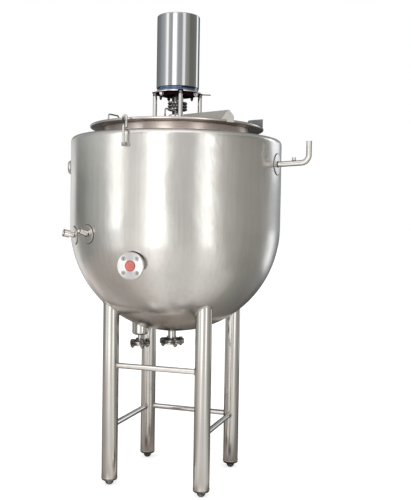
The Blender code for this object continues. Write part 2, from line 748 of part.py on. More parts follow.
def build_agitator(steel, dark, spin_axis):
    flange_low = COUPLING_BOTTOM + 0.015
    groove = 0.002
    flange = 0.018
    upper = flange_low + flange + groove
    turned(
        "shaft_coupling",
        [
            (0.0, COUPLING_BOTTOM),
            (0.026, COUPLING_BOTTOM),
            (0.026, flange_low),
            (COUPLING_R, flange_low),
            (COUPLING_R, flange_low + flange),
            (COUPLING_R - 0.006, flange_low + flange),
            (COUPLING_R - 0.006, upper),
            (COUPLING_R, upper),
            (COUPLING_R, upper + flange),
            (COUPLING_NECK_R, upper + flange),
            (COUPLING_NECK_R, PLATE_Z - 0.005),
            (SHAFT_STUB_R, PLATE_Z - 0.005),
            (SHAFT_STUB_R, PLATE_Z + PLATE_THICKNESS + 0.015),
            (0.0, PLATE_Z + PLATE_THICKNESS + 0.015),
        ],
        dark,
        spin_axis,
        sides=32,
    )
    low = PAN_CENTRE_Z - ANCHOR_R
    turned(
        "agitator_shaft",
        rod_outline(SHAFT_R, low + ANCHOR_WIDTH + 0.02, COUPLING_BOTTOM - SEAT),
        steel,
        spin_axis,
        sides=24,
    )
    inner_r = ANCHOR_R - ANCHOR_WIDTH
    outside = arc((0.0, PAN_CENTRE_Z), ANCHOR_R, 180.0, 360.0, 24)
    inside = arc((0.0, PAN_CENTRE_Z), inner_r, 360.0, 180.0, 24)
    shape = (
        [(-ANCHOR_R, ANCHOR_TOP)]
        + outside
        + [(ANCHOR_R, ANCHOR_TOP), (inner_r, ANCHOR_TOP)]
        + inside
        + [(-inner_r, ANCHOR_TOP)]
    )
    upright = Matrix.Rotation(math.radians(90.0), 4, "X")
    half = ANCHOR_THICKNESS / 2
    anchor = prism_object("anchor_blade", shape, -half, half, steel, spin_axis, upright)
    bar = prism_object(
        "anchor_bar",
        box_outline(-inner_r - 0.01, inner_r + 0.01, ANCHOR_BAR_Z - 0.015, ANCHOR_BAR_Z + 0.015),
        -half + 0.0005,
        half - 0.0005,
        steel,
        spin_axis,
        upright,
    )
    combine(anchor, bar, "UNION")
    hubs = {"lower": (low + 0.002, low + ANCHOR_WIDTH + 0.055), "upper": (ANCHOR_BAR_Z - 0.03, ANCHOR_BAR_Z + 0.03)}
    for place, (start, end) in hubs.items():
        hub = turned("hub_" + place, rod_outline(SHAFT_R + 0.008, start, end), steel, spin_axis, sides=24)
        combine(anchor, hub, "UNION")
    bore = turned(
        "anchor_bore",
        rod_outline(SHAFT_R + SEAT, low + ANCHOR_WIDTH + 0.02 - SEAT, ANCHOR_TOP),
        steel,
        spin_axis,
        sides=24,
    )
    combine(anchor, bore, "DIFFERENCE")


def leg_point(angle):
    turn_to = math.radians(angle + LEG_TURN)
    return Vector((LEG_CIRCLE_R * math.cos(turn_to), LEG_CIRCLE_R * math.sin(turn_to), 0.0))


def build_stand(steel, vessel, jacket):
    top = EQUATOR_Z - 0.2
    for name, angle in LEG_NAMES.items():
        centre = Matrix.Translation(leg_point(angle))
        leg = turned(
            "leg_" + name, tube_outline(LEG_R, LEG_R - LEG_WALL, LEG_BOTTOM, top), steel, vessel, centre, sides=24
        )
        combine(leg, jacket, "DIFFERENCE")
        ball_low = math.degrees(math.asin(FOOT_FLAT_R / FOOT_BALL_R))
        ball_centre = FOOT_BALL_R * math.cos(math.radians(ball_low))
        ball = arc((0.0, ball_centre), FOOT_BALL_R, -90.0 + ball_low, 10.0, 4)
        plug_low = LEG_BOTTOM - 0.0115
        turned(
            "foot_" + name,
            [(0.0, 0.0)]
            + ball
            + [(0.014, plug_low), (LEG_R - 0.006, plug_low), (LEG_R, plug_low + 0.006), (LEG_R, LEG_BOTTOM - SEAT)]
            + [(0.0, LEG_BOTTOM - SEAT)],
            steel,
            vessel,
            centre,
            sides=20,
        )
    braces = {
        "front": ("front_left", "front_right", HIGH_BRACE_Z),
        "left": ("front_left", "back_left", LOW_BRACE_Z),
        "back": ("back_left", "back_right", LOW_BRACE_Z),
        "right": ("front_right", "back_right", LOW_BRACE_Z),
    }
    for name, (first, second, height) in braces.items():
        start = leg_point(LEG_NAMES[first])
        end = leg_point(LEG_NAMES[second])
        along = (end - start).normalized()
        sink = LEG_R * math.cos(math.asin(BRACE_R / LEG_R))
        start = start + along * (sink - 0.002)
        end = end - along * (sink - 0.002)
        middle = (start + end) / 2 + Vector((0.0, 0.0, height))
        half = (end - start).length / 2
        place = Matrix.Translation(middle) @ along.to_track_quat("Z", "Y").to_matrix().to_4x4()
        brace = turned("brace_" + name, rod_outline(BRACE_R, -half, half), steel, vessel, place, sides=16)
        for leg_name in (first, second):
            shape_name = "leg_shape_" + name + "_" + leg_name
            place = Matrix.Translation(leg_point(LEG_NAMES[leg_name]))
            outline = rod_outline(LEG_R + SEAT, height - 0.05, height + 0.05)
            cutter = turned(shape_name, outline, steel, vessel, place, sides=24)
            combine(brace, cutter, "DIFFERENCE")


def build_front_nozzle(steel, red, vessel, jacket):
    root = jacket_radius(FRONT_NOZZLE_Z)
    depth = FRONT_NOZZLE_FACE - root
    place = aimed_place(FRONT_NOZZLE_AZIMUTH, FRONT_NOZZLE_Z, FRONT_NOZZLE_FACE, FRONT_NOZZLE_AIM)
    pocket = 0.012
    back = -FRONT_FLANGE_THICKNESS
    outline = [
        (0.0, -depth - 0.02),
        (FRONT_FLANGE_NECK_R, -depth - 0.02),
        (FRONT_FLANGE_NECK_R, back),
        (FRONT_FLANGE_R, back),
        (FRONT_FLANGE_R, -0.0015),
        (FRONT_FLANGE_R - 0.0015, 0.0),
        (FRONT_PLUG_R + SEAT, 0.0),
        (FRONT_PLUG_R + SEAT, -pocket),
        (0.0, -pocket),
    ]
    nozzle = turned("front_nozzle", outline, steel, vessel, place, sides=40)
    for i in range(4):
        angle = math.radians(45.0 + 90.0 * i)
        spot = (FRONT_FLANGE_HOLE_CIRCLE_R * math.cos(angle), FRONT_FLANGE_HOLE_CIRCLE_R * math.sin(angle), 0.0)
        drill = turned(
            "bolt_hole_%d" % i,
            rod_outline(FRONT_FLANGE_HOLE_R, back - 0.005, 0.005),
            steel,
            vessel,
            place @ Matrix.Translation(spot),
            sides=12,
        )
        combine(nozzle, drill, "DIFFERENCE")
    combine(nozzle, jacket, "DIFFERENCE")
    turned(
        "front_nozzle_plug",
        [(0.0, -pocket + SEAT), (FRONT_PLUG_R, -pocket + SEAT), (FRONT_PLUG_R, 0.0015)]
        + [(FRONT_PLUG_R - 0.0015, 0.003), (0.0, 0.003)],
        red,
        vessel,
        place,
        sides=24,
    )


def build_probe_sockets(steel, vessel, jacket):
    for name, (azimuth, height, tilt, length, outside, bore_r) in PROBE_SOCKETS.items():
        body = pad_object(name, azimuth, height, steel, vessel)
        place = radial_place(azimuth, height, jacket_radius(height), tilt)
        root = outside[0][0]
        bore = [(bore_r, length), (bore_r, length - PROBE_BORE_DEPTH), (0.0, length - PROBE_BORE_DEPTH)]
        outline = [(0.0, -ROOT_DEPTH), (root, -ROOT_DEPTH)] + outside + bore
        pipe = turned(name + "_pipe", outline, steel, vessel, place, sides=20)
        combine(body, pipe, "UNION")
        combine(body, jacket, "DIFFERENCE")


def build_vent(steel, vessel, jacket):
    vent = pad_object("vent_pipe", VENT_AZIMUTH, VENT_Z, steel, vessel, radius=VENT_PAD_R)
    start_out = JACKET_R - ROOT_DEPTH
    slope = math.atan(VENT_RISE)
    bend_out = VENT_LEG_OUT - VENT_BEND_R
    bend_low = VENT_Z + VENT_RISE * (bend_out - JACKET_R)
    elbow = arc((bend_out, bend_low + VENT_BEND_R), VENT_BEND_R, -90.0 + math.degrees(slope), 0.0, 6)
    route = [(start_out, VENT_Z - VENT_RISE * ROOT_DEPTH)] + elbow + [(VENT_LEG_OUT, VENT_TOP)]
    angle = math.radians(VENT_AZIMUTH)
    path = [(out * math.cos(angle), out * math.sin(angle), z) for out, z in route]
    builder = bmesh.new()
    sweep(builder, path, VENT_R, VENT_BORE_R, sides=16)
    tube = add_object("vent_tube", builder, steel, vessel)
    combine(vent, tube, "UNION")
    stub_low = VENT_Z + VENT_RISE * (VENT_STUB_OUT - JACKET_R) + VENT_R - 0.0012
    place = Matrix.Translation((VENT_STUB_OUT * math.cos(angle), VENT_STUB_OUT * math.sin(angle), 0.0))
    stub = turned("vent_stub", rod_outline(VENT_STUB_R, stub_low, VENT_STUB_TOP), steel, vessel, place, sides=14)
    combine(vent, stub, "UNION")
    combine(vent, jacket, "DIFFERENCE")


def build_union(steel, vessel, jacket):
    place = radial_place(UNION_AZIMUTH, UNION_Z, JACKET_R)
    union = pad_object("side_union", UNION_AZIMUTH, UNION_Z, steel, vessel, radius=UNION_PAD_R)
    outline = [
        (0.0, -ROOT_DEPTH),
        (0.017, -ROOT_DEPTH),
        (0.017, 0.0055),
        (0.0335, 0.006),
        (0.0345, 0.007),
        (0.0345, 0.010),
        (0.0275, 0.020),
        (0.0, 0.020),
    ]
    body = turned("side_union_body", outline, steel, vessel, place, sides=28)
    combine(union, body, "UNION")
    combine(union, jacket, "DIFFERENCE")


def build_bottom_fittings(steel, vessel, jacket):
    pan_bottom = PAN_CENTRE_Z - math.sqrt((NECK_R - PAN_WALL) ** 2 - OUTLET_R**2)
    at_outlet = Matrix.Translation((OUTLET_X, 0.0, 0.0))
    turned(
        "outlet_pipe",
        tube_outline(OUTLET_R, OUTLET_BORE_R, OUTLET_FLANGE_TOP + SEAT, pan_bottom),
        steel,
        vessel,
        at_outlet,
        sides=32,
    )

    def flange_pair(radius, low, high, bore):
        middle = (low + high) / 2
        return [
            (0.0, low),
            (radius - 0.001, low),
            (radius, low + 0.001),
            (radius, middle - 0.001),
            (radius - 0.006, middle - 0.001),
            (radius - 0.006, middle + 0.001),
            (radius, middle + 0.001),
            (radius, high - 0.001),
            (radius - 0.001, high),
            (bore, high),
            (bore, middle),
            (0.0, middle),
        ]

    pair = flange_pair(OUTLET_FLANGE_R, OUTLET_FLANGE_BOTTOM, OUTLET_FLANGE_TOP, OUTLET_BORE_R)
    turned("outlet_flange_pair", pair, steel, vessel, at_outlet, sides=32)

    place = Matrix.Translation((DRAIN_X, DRAIN_Y, 0.0))
    corner = 0.012
    rounded = arc((DRAIN_POT_R - corner, DRAIN_POT_BOTTOM + corner), corner, -90.0, 0.0, 5)
    pot = turned(
        "drain_pot",
        [(0.0, DRAIN_FLANGE_TOP + SEAT), (DRAIN_STEM_R, DRAIN_FLANGE_TOP + SEAT), (DRAIN_STEM_R, DRAIN_POT_BOTTOM)]
        + rounded
        + [(DRAIN_POT_R, EQUATOR_Z - 0.42), (0.0, EQUATOR_Z - 0.42)],
        steel,
        vessel,
        place,
        sides=28,
    )
    combine(pot, jacket, "DIFFERENCE")
    middle = (DRAIN_FLANGE_BOTTOM + DRAIN_FLANGE_TOP) / 2
    turned(
        "drain_flange_pair",
        [
            (0.0, DRAIN_FLANGE_BOTTOM),
            (DRAIN_FLANGE_R - 0.001, DRAIN_FLANGE_BOTTOM),
            (DRAIN_FLANGE_R, DRAIN_FLANGE_BOTTOM + 0.001),
            (DRAIN_FLANGE_R, middle - 0.001),
            (DRAIN_FLANGE_R - 0.005, middle - 0.001),
            (DRAIN_FLANGE_R - 0.005, middle + 0.001),
            (DRAIN_FLANGE_R, middle + 0.001),
            (DRAIN_FLANGE_R, DRAIN_FLANGE_TOP - 0.001),
            (DRAIN_FLANGE_R - 0.001, DRAIN_FLANGE_TOP),
            (0.0, DRAIN_FLANGE_TOP),
        ],
        steel,
        vessel,
        place,
        sides=28,
    )


def build():
    clear_scene()
    satin = material("satin_steel", (0.62, 0.61, 0.58), 0.3, 1.0)
    polished = material("polished_steel", (0.70, 0.70, 0.68), 0.18, 1.0)
    dark = material("dark_steel", (0.16, 0.15, 0.15), 0.45, 1.0)
    blue = material("blue_paint", (0.05, 0.13, 0.30), 0.4, 0.0)
    red = material("red_plastic", (0.80, 0.12, 0.10), 0.45, 0.0)

    vessel = empty("vessel_axis", Matrix.Translation((AXIS_X, 0.0, 0.0)))
    spin_axis = empty("agitator_axis", Matrix.Identity(4), vessel)
    door_frame = door_place()
    door_axis = empty("door_hinge_axis", door_frame, vessel)
    latch_place = latch_frame()
    latch_axis = empty("latch_axis", latch_place, vessel)

    jacket = jacket_cutter(satin, vessel)
    build_jacket(satin, vessel)
    build_pan(satin, vessel)
    build_lid(satin, vessel, door_axis, door_frame)
    build_door_hinges(satin, vessel, door_frame)
    build_handles(satin, door_axis)
    notch = lid_and_rim_cutter(satin, vessel)
    build_hood(satin, vessel, notch)
    build_gusset(satin, vessel, notch)
    build_latch(satin, vessel, latch_axis, latch_place, jacket)
    build_drive(polished, blue, vessel)
    build_agitator(polished, dark, spin_axis)
    build_stand(satin, vessel, jacket)
    build_front_nozzle(polished, red, vessel, jacket)
    build_probe_sockets(polished, vessel, jacket)
    build_vent(polished, vessel, jacket)
    build_union(polished, vessel, jacket)
    build_bottom_fittings(polished, vessel, jacket)


build()
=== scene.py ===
"""Looks of a jacketed ghee boiler: fine geometry, finishes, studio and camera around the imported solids.

Metres, +Z up, the front towards -Y. The vessel's own axis stands at AXIS. Pieces are worked out round
that axis, as arrays of points, and moved there when they become objects.
"""

import logging
import math
from collections.abc import Iterable
from dataclasses import dataclass
from enum import Enum

import bmesh
import bpy
import numpy as np
from mathutils import Matrix


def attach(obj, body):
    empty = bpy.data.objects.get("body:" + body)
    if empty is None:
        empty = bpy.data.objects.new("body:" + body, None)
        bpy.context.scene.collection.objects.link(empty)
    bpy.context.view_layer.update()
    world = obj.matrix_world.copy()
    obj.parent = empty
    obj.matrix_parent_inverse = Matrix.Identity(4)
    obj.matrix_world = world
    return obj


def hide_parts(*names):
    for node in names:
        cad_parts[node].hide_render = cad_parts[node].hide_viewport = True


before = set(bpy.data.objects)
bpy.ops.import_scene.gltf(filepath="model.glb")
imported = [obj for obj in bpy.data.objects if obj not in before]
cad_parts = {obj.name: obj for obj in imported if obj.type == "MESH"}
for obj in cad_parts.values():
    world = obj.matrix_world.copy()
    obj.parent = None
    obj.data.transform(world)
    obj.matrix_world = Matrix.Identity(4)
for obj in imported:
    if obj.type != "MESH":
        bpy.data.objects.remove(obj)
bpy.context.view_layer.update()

LOG = logging.getLogger("boiler")
AXIS = np.array([-0.0424, 0.0, 0.0])
TAU = math.tau
UP = np.array([0.0, 0.0, 1.0])
CLEAR = 0.0003


class Body(Enum):
    """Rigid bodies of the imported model."""

    VESSEL = "vessel"
    AGITATOR = "agitator"
    DOOR = "lid_door"
    LATCH = "latch"


class Slot(Enum):
    """Material slots of the record."""

    SATIN = "satin_steel"
    POLISHED = "polished_steel"
    DARK = "dark_steel"
    BLUE = "blue_paint"
    RED = "red_plastic"


class Grain(Enum):
    """Which way a finish was ground, brushed or turned."""

    UPRIGHT = "lines that run up the piece"
    LEVEL = "lines that run level round the piece"
    TURNED = "rings round the piece's own axis"
    CAST = "no lines, a fine rough skin"


# Surfaces


def round_angles(count: int) -> np.ndarray:
    """Equal steps of an angle once round, in radians."""
    return np.arange(count) * TAU / count


@dataclass
class Skin:
    """Closed skins as vertices and as blocks of polygons, each block one array of vertex numbers."""

    verts: np.ndarray
    blocks: list[np.ndarray]

    def __add__(self, other: "Skin") -> "Skin":
        """Both skins in one."""
        moved = [block + len(self.verts) for block in other.blocks]
        return Skin(np.vstack([self.verts, other.verts]), self.blocks + moved)

    def placed(self, matrix: np.ndarray) -> "Skin":
        """The skin carried by a 4 by 4 matrix."""
        return Skin(self.verts @ matrix[:3, :3].T + matrix[:3, 3], self.blocks)

    def around(self, count: int, start: float = 0.0) -> "Skin":
        """Copies of the skin turned round Z, at equal steps from a start angle in degrees.

        Args:
            count: How many copies.
            start: The first copy's angle in degrees.

        Returns:
            The skin.
        """
        angle = math.radians(start) + round_angles(count)
        cos, sin, zero, one = np.cos(angle), np.sin(angle), np.zeros(count), np.ones(count)
        turns = np.array([[cos, -sin, zero], [sin, cos, zero], [zero, zero, one]])
        verts = np.einsum("abk,nb->kna", turns, self.verts).reshape(-1, 3)
        later = np.arange(count)[:, None, None] * len(self.verts)
        return Skin(verts, [(block[None] + later).reshape(-1, block.shape[1]) for block in self.blocks])

    def rows(self) -> list[list[int]]:
        """The polygons, each as a list of vertex numbers."""
        return [row for block in self.blocks for row in block.tolist()]


def joined(skins: Iterable[Skin]) -> Skin:
    """All the skins in one, in their order."""
    first, *rest = skins
    return sum(rest, first)


def grid(points: np.ndarray, wrap_rows: bool = False, caps: bool = True) -> Skin:
    """Skin over a grid of points whose columns close on themselves.

    Quad (i, j) joins the points (i, j), (i, j + 1), (i + 1, j + 1) and (i + 1, j).

    Args:
        points: Array of rows by columns by 3.
        wrap_rows: Whether the last row joins the first, as on a tube's section.
        caps: Whether the first and last rows get a flat polygon each, where rows don't wrap.

    Returns:
        The skin.
    """
    rows, columns = points.shape[:2]
    number = np.arange(rows * columns).reshape(rows, columns)
    low = number if wrap_rows else number[:-1]
    high = np.roll(number, -1, axis=0) if wrap_rows else number[1:]
    quads = np.stack([low, np.roll(low, -1, axis=1), np.roll(high, -1, axis=1), high], axis=-1).reshape(-1, 4)
    blocks = [quads]
    if caps and not wrap_rows:
        blocks += [number[:1, ::-1], number[-1:]]
    return Skin(points.reshape(-1, 3), blocks)


def lathe(profile: object, sides: int) -> np.ndarray:
    """Points of a turned surface: P(i, a) = (r_i cos a, r_i sin a, z_i).

    Args:
        profile: Rows of a radius r and a height z.
        sides: Steps of the angle a.

    Returns:
        Array of rows by sides by 3.
    """
    profile, angle = np.asarray(profile), round_angles(sides)
    radius, height = profile[:, :1], profile[:, 1:]
    return np.stack([radius * np.cos(angle), radius * np.sin(angle), height + 0.0 * angle], axis=-1)


def revolve(profile: object, sides: int, closed: bool = True) -> Skin:
    """Turns a section round Z.

    Args:
        profile: Rows of a radius and a height.
        sides: Steps round.
        closed: Whether the profile's last point joins its first.

    Returns:
        The skin.
    """
    return grid(lathe(profile, sides), wrap_rows=closed, caps=False)


def band(inner: float, outer: float, low: float, high: float, sides: int) -> Skin:
    """A turned ring with a rectangular section."""
    return revolve([[inner, low], [outer, low], [outer, high], [inner, high]], sides)


def unit(vectors: np.ndarray) -> np.ndarray:
    """Vectors scaled to length one."""
    return vectors / np.linalg.norm(vectors, axis=-1, keepdims=True)


def rings(path: np.ndarray, radius: np.ndarray, sides: int, across: np.ndarray, closed: bool) -> np.ndarray:
    """Circles carried along a path: C(i, a) = P_i + r_i (s_i cos a + u_i sin a).

    The direction s_i is square to the path and to across, and u_i is square to the path and to s_i.

    Args:
        path: Array of points by 3.
        radius: One radius for each point.
        sides: Steps of the angle a.
        across: A direction that the path never takes.
        closed: Whether the path is a ring.

    Returns:
        Array of points by sides by 3.
    """
    if closed:
        tangent = unit(np.roll(path, -1, axis=0) - np.roll(path, 1, axis=0))
    else:
        tangent = unit(np.gradient(path, axis=0))
    side = unit(np.cross(tangent, across))
    over = np.cross(side, tangent)
    angle = round_angles(sides)[:, None]
    ring = side[:, None] * np.cos(angle) + over[:, None] * np.sin(angle)
    return path[:, None] + radius[:, None, None] * ring


def rod(path: np.ndarray, radius: float, sides: int, across: np.ndarray, bore: float = 0.0) -> Skin:
    """A rod along a path, its ends rounded over a third of its radius, or a tube where a bore is given.

    Args:
        path: Array of points by 3.
        radius: The outside radius.
        sides: Steps round the rod.
        across: A direction that the path never takes.
        bore: The inside radius of a tube, or 0 for a solid rod.

    Returns:
        The skin.
    """
    full = np.full(len(path), radius)
    body = rings(path, full, sides, across, False)
    if bore > 0.0:
        inside = rings(path, full * 0 + bore, sides, across, False)
        return grid(np.concatenate([body, inside[::-1]]), wrap_rows=True)
    lean = np.array([1.0, 0.72, 0.35])[:, None, None]
    sink = np.array([0.0, 0.16, 0.3])[:, None, None] * radius
    domes = []
    for end, inner in ((0, 1), (-1, -2)):
        outward = unit(path[end] - path[inner])
        domes.append(path[end] + (body[end] - path[end])[None] * lean + outward * sink)
    return grid(np.concatenate([domes[0][::-1], body[1:-1], domes[1]]))


def bead(path: np.ndarray, radius: float, pitch: float, across: np.ndarray = UP) -> Skin:
    """A weld bead along a closed path: its radius swells as 0.92 + 0.16 |cos| once each pitch of travel.

    Args:
        path: Array of points by 3.
        radius: The bead's mean radius.
        pitch: Length of a ripple along the path.
        across: A direction that the path never takes.

    Returns:
        The skin.
    """
    travel = np.concatenate([[0.0], np.cumsum(np.linalg.norm(np.diff(path, axis=0), axis=1))])
    total = travel[-1] + np.linalg.norm(path[0] - path[-1])
    ripples = max(round(total / pitch), 1)
    swell = radius * (0.92 + 0.16 * np.abs(np.cos(math.pi * ripples * travel / total)))
    return grid(rings(path, swell, 8, across, True), wrap_rows=True)


def circle(radius: float, height: float, count: int) -> np.ndarray:
    """Points of a level circle round Z."""
    return lathe([[radius, height]], count)[0]


def arc(centre: tuple[float, float], radius: float, start: float, end: float, steps: int) -> np.ndarray:
    """Points of a plane arc, with angles in degrees."""
    angle = np.radians(np.linspace(start, end, steps + 1))
    return np.stack([centre[0] + radius * np.cos(angle), centre[1] + radius * np.sin(angle)], axis=-1)


def rounded(points: np.ndarray, radius: float, steps: int = 6) -> np.ndarray:
    """A path with its corners rounded by parabolas.

    Round a corner C, between A and D, the path is B(t) = (1 - t)^2 A + 2 t (1 - t) C + t^2 D.

    Args:
        points: The path's two ends with its corners between them.
        radius: How far from a corner its parabola starts, at most 0.45 of the shorter side.
        steps: Steps of t at each corner.

    Returns:
        The new path's points.
    """
    before, after = np.roll(points, 1, axis=0), np.roll(points, -1, axis=0)
    to_before, to_after = before - points, after - points
    reach = np.minimum(np.linalg.norm(to_before, axis=1), np.linalg.norm(to_after, axis=1)) * 0.45
    reach = np.minimum(reach, radius)[:, None]
    start, end = points + unit(to_before) * reach, points + unit(to_after) * reach
    t = np.linspace(0.0, 1.0, steps + 1)[:, None]
    curves = (1 - t) ** 2 * start[:, None] + 2 * t * (1 - t) * points[:, None] + t**2 * end[:, None]
    return np.concatenate([points[:1], curves[1:-1].reshape(-1, points.shape[1]), points[-1:]])


def plate(outline: np.ndarray, low: float, high: float, bevel: float) -> Skin:
    """A flat plate from a closed outline in the XY plane, its edges bevelled by moving corners inwards.

    Each row holds the outline moved by its inset along the mean of the two edge normals at each corner.

    Args:
        outline: Array of corners by 2.
        low: Height of the lower face.
        high: Height of the upper face.
        bevel: How far the faces are set in, and how high the bevels are.

    Returns:
        The skin.
    """
    ahead = unit(np.roll(outline, -1, axis=0) - outline)
    behind = np.roll(ahead, 1, axis=0)
    area = 0.5 * np.sum(outline[:, 0] * np.roll(outline[:, 1], -1) - np.roll(outline[:, 0], -1) * outline[:, 1])
    inward = np.array([[0.0, 1.0], [-1.0, 0.0]]) * math.copysign(1.0, area)
    bisector = (ahead + behind) @ inward
    bisector /= np.maximum(1.0 + np.sum(ahead * behind, axis=1, keepdims=True), 0.3)
    insets = np.array([bevel, 0.0, 0.0, bevel])
    heights = np.array([low, low + bevel, high - bevel, high])
    flat = outline[None] + bisector[None] * insets[:, None, None]
    points = np.concatenate([flat, np.broadcast_to(heights[:, None, None], flat.shape[:2] + (1,))], axis=-1)
    return grid(points)


def turning(axis: str, degrees: float) -> np.ndarray:
    """4 by 4 matrix of a turn about X, Y or Z."""
    return np.array(Matrix.Rotation(math.radians(degrees), 4, axis))


def shift(x: float, y: float, z: float) -> np.ndarray:
    """4 by 4 matrix of a move."""
    return frame_of(*np.eye(3), np.array([x, y, z]))


def aimed(azimuth: float, height: float, out: float, aim: float) -> np.ndarray:
    """Frame at a place round the axis whose +Z points level along another azimuth."""
    spot = turning("Z", azimuth) @ np.array([out, 0.0, height, 1.0])
    return shift(*spot[:3]) @ turning("Z", aim) @ turning("Y", 90.0)


def frame_of(right: np.ndarray, ahead: np.ndarray, over: np.ndarray, origin: np.ndarray) -> np.ndarray:
    """4 by 4 matrix with the three directions as its columns and the origin as its place."""
    matrix = np.eye(4)
    matrix[:3] = np.stack([right, ahead, over, origin], axis=-1)
    return matrix


def radial(azimuth: float, height: float, out: float, tilt: float = 0.0) -> np.ndarray:
    """Frame whose +Z points outwards along an azimuth, raised by the tilt, and whose +Y is level."""
    return turning("Z", azimuth) @ shift(out, 0.0, height) @ turning("Y", 90.0 - tilt)


# Fasteners


@dataclass(frozen=True)
class Bolt:
    """A hexagon bolt: shank radius, width across flats, head height and nut height."""

    shank: float
    flats: float
    head: float
    nut: float

    def hexagon(self, height: float) -> Skin:
        """A hexagon that stands on z = 0, with its top corners turned off at thirty degrees.

        Args:
            height: The hexagon's height.

        Returns:
            The skin.
        """
        corner = self.flats / math.sqrt(3.0)
        cut = corner - self.flats / 2
        side = [[0.0, 0.0], [corner, 0.0], [corner, height - cut * 0.6], [corner - cut, height], [0.0, height]]
        return revolve(side, 6, closed=False)

    def washer(self) -> Skin:
        """A washer under z = 0."""
        outer, thick = self.flats * 0.62, self.shank * 0.22
        return revolve([[self.shank, 0.0], [outer, 0.0], [outer, -thick], [self.shank, -thick]], 24)

    def thread(self, low: float, high: float) -> Skin:
        """A threaded end whose radius follows r (1 - 0.06 |sin|) along its length.

        Args:
            low: Where the thread starts.
            high: Where it ends.

        Returns:
            The skin.
        """
        radii = self.shank * (1.0 - 0.06 * np.abs(np.sin(np.linspace(0.0, 3 * math.pi, 13))))
        column = np.stack([radii, np.linspace(low, high, 13)], axis=-1)
        end = high + self.shank * 0.15
        profile = np.concatenate([[[0.0, low]], column, [[self.shank * 0.8, end], [0.0, end]]])
        return revolve(profile, 16, closed=False)

    def through(self, grip: float, spare: float) -> Skin:
        """Head with washer above z = 0, and washer, nut and spare thread below z = -grip.

        Args:
            grip: Thickness of what the bolt holds.
            spare: Thread past the nut.

        Returns:
            The skin.
        """
        thick, flip = self.shank * 0.22, turning("X", 180.0)
        head = (self.hexagon(self.head) + self.washer()).placed(shift(0, 0, thick))
        nut = (self.hexagon(self.nut) + self.washer()).placed(shift(0, 0, -grip - thick) @ flip)
        end = self.thread(self.nut + thick, self.nut + thick + spare).placed(shift(0, 0, -grip) @ flip)
        return head + nut + end


M8 = Bolt(0.004, 0.013, 0.0053, 0.0065)
M10 = Bolt(0.005, 0.017, 0.0064, 0.008)
M12 = Bolt(0.006, 0.019, 0.0075, 0.010)


# Finishes

Output = bpy.types.NodeSocket


class Nodes:
    """A node tree, with short calls for the nodes that the finishes and the lights use."""

    def __init__(self, tree: bpy.types.NodeTree) -> None:
        """Keeps the tree."""
        self.tree = tree

    def join(self, source: object, target: Output) -> None:
        """Links a socket to an input, or sets the input's value.

        Args:
            source: An output, or a value.
            target: The input.
        """
        if isinstance(source, Output):
            self.tree.links.new(source, target)
        else:
            target.default_value = source

    def node(self, kind: str, inputs: dict[int | str, object], **settings: object) -> bpy.types.Node:
        """Makes a node.

        Args:
            kind: The node's type, without its prefix.
            inputs: Sockets or values for its inputs, by their number or name.
            settings: Its settings, which are made before its inputs.

        Returns:
            The node.
        """
        node = self.tree.nodes.new(f"ShaderNode{kind}")
        for setting, value in settings.items():
            setattr(node, setting, value)
        for label, source in inputs.items():
            self.join(source, node.inputs[label])
        return node

    def maths(self, operation: str, first: object, second: object = 0.0) -> Output:
        """One arithmetic step."""
        return self.node("Math", {0: first, 1: second}, operation=operation).outputs[0]

    def vector(self, operation: str, first: object, second: object = (0.0, 0.0, 0.0)) -> Output:
        """One vector step with a vector as its result."""
        return self.node("VectorMath", {0: first, 1: second}, operation=operation).outputs["Vector"]

    def measure(self, operation: str, first: object, second: object = (0.0, 0.0, 0.0)) -> Output:
        """One vector step with a number as its result."""
        return self.node("VectorMath", {0: first, 1: second}, operation=operation).outputs["Value"]

    def span(
        self, value: object, low: float, high: float, start: float = 0.0, end: float = 1.0
    ) -> Output:
        """Carries low..high smoothly to start..end, and holds the ends."""
        inputs = {"Value": value, "From Min": low, "From Max": high, "To Min": start, "To Max": end}
        return self.node("MapRange", inputs, interpolation_type="SMOOTHSTEP").outputs["Result"]

    def blend(self, share: object, first: object, second: object) -> Output:
        """Mixes two colours by a share."""
        first, second = ((*colour, 1.0) if isinstance(colour, tuple) else colour for colour in (first, second))
        return self.node("Mix", {0: share, 6: first, 7: second}, data_type="RGBA").outputs[2]


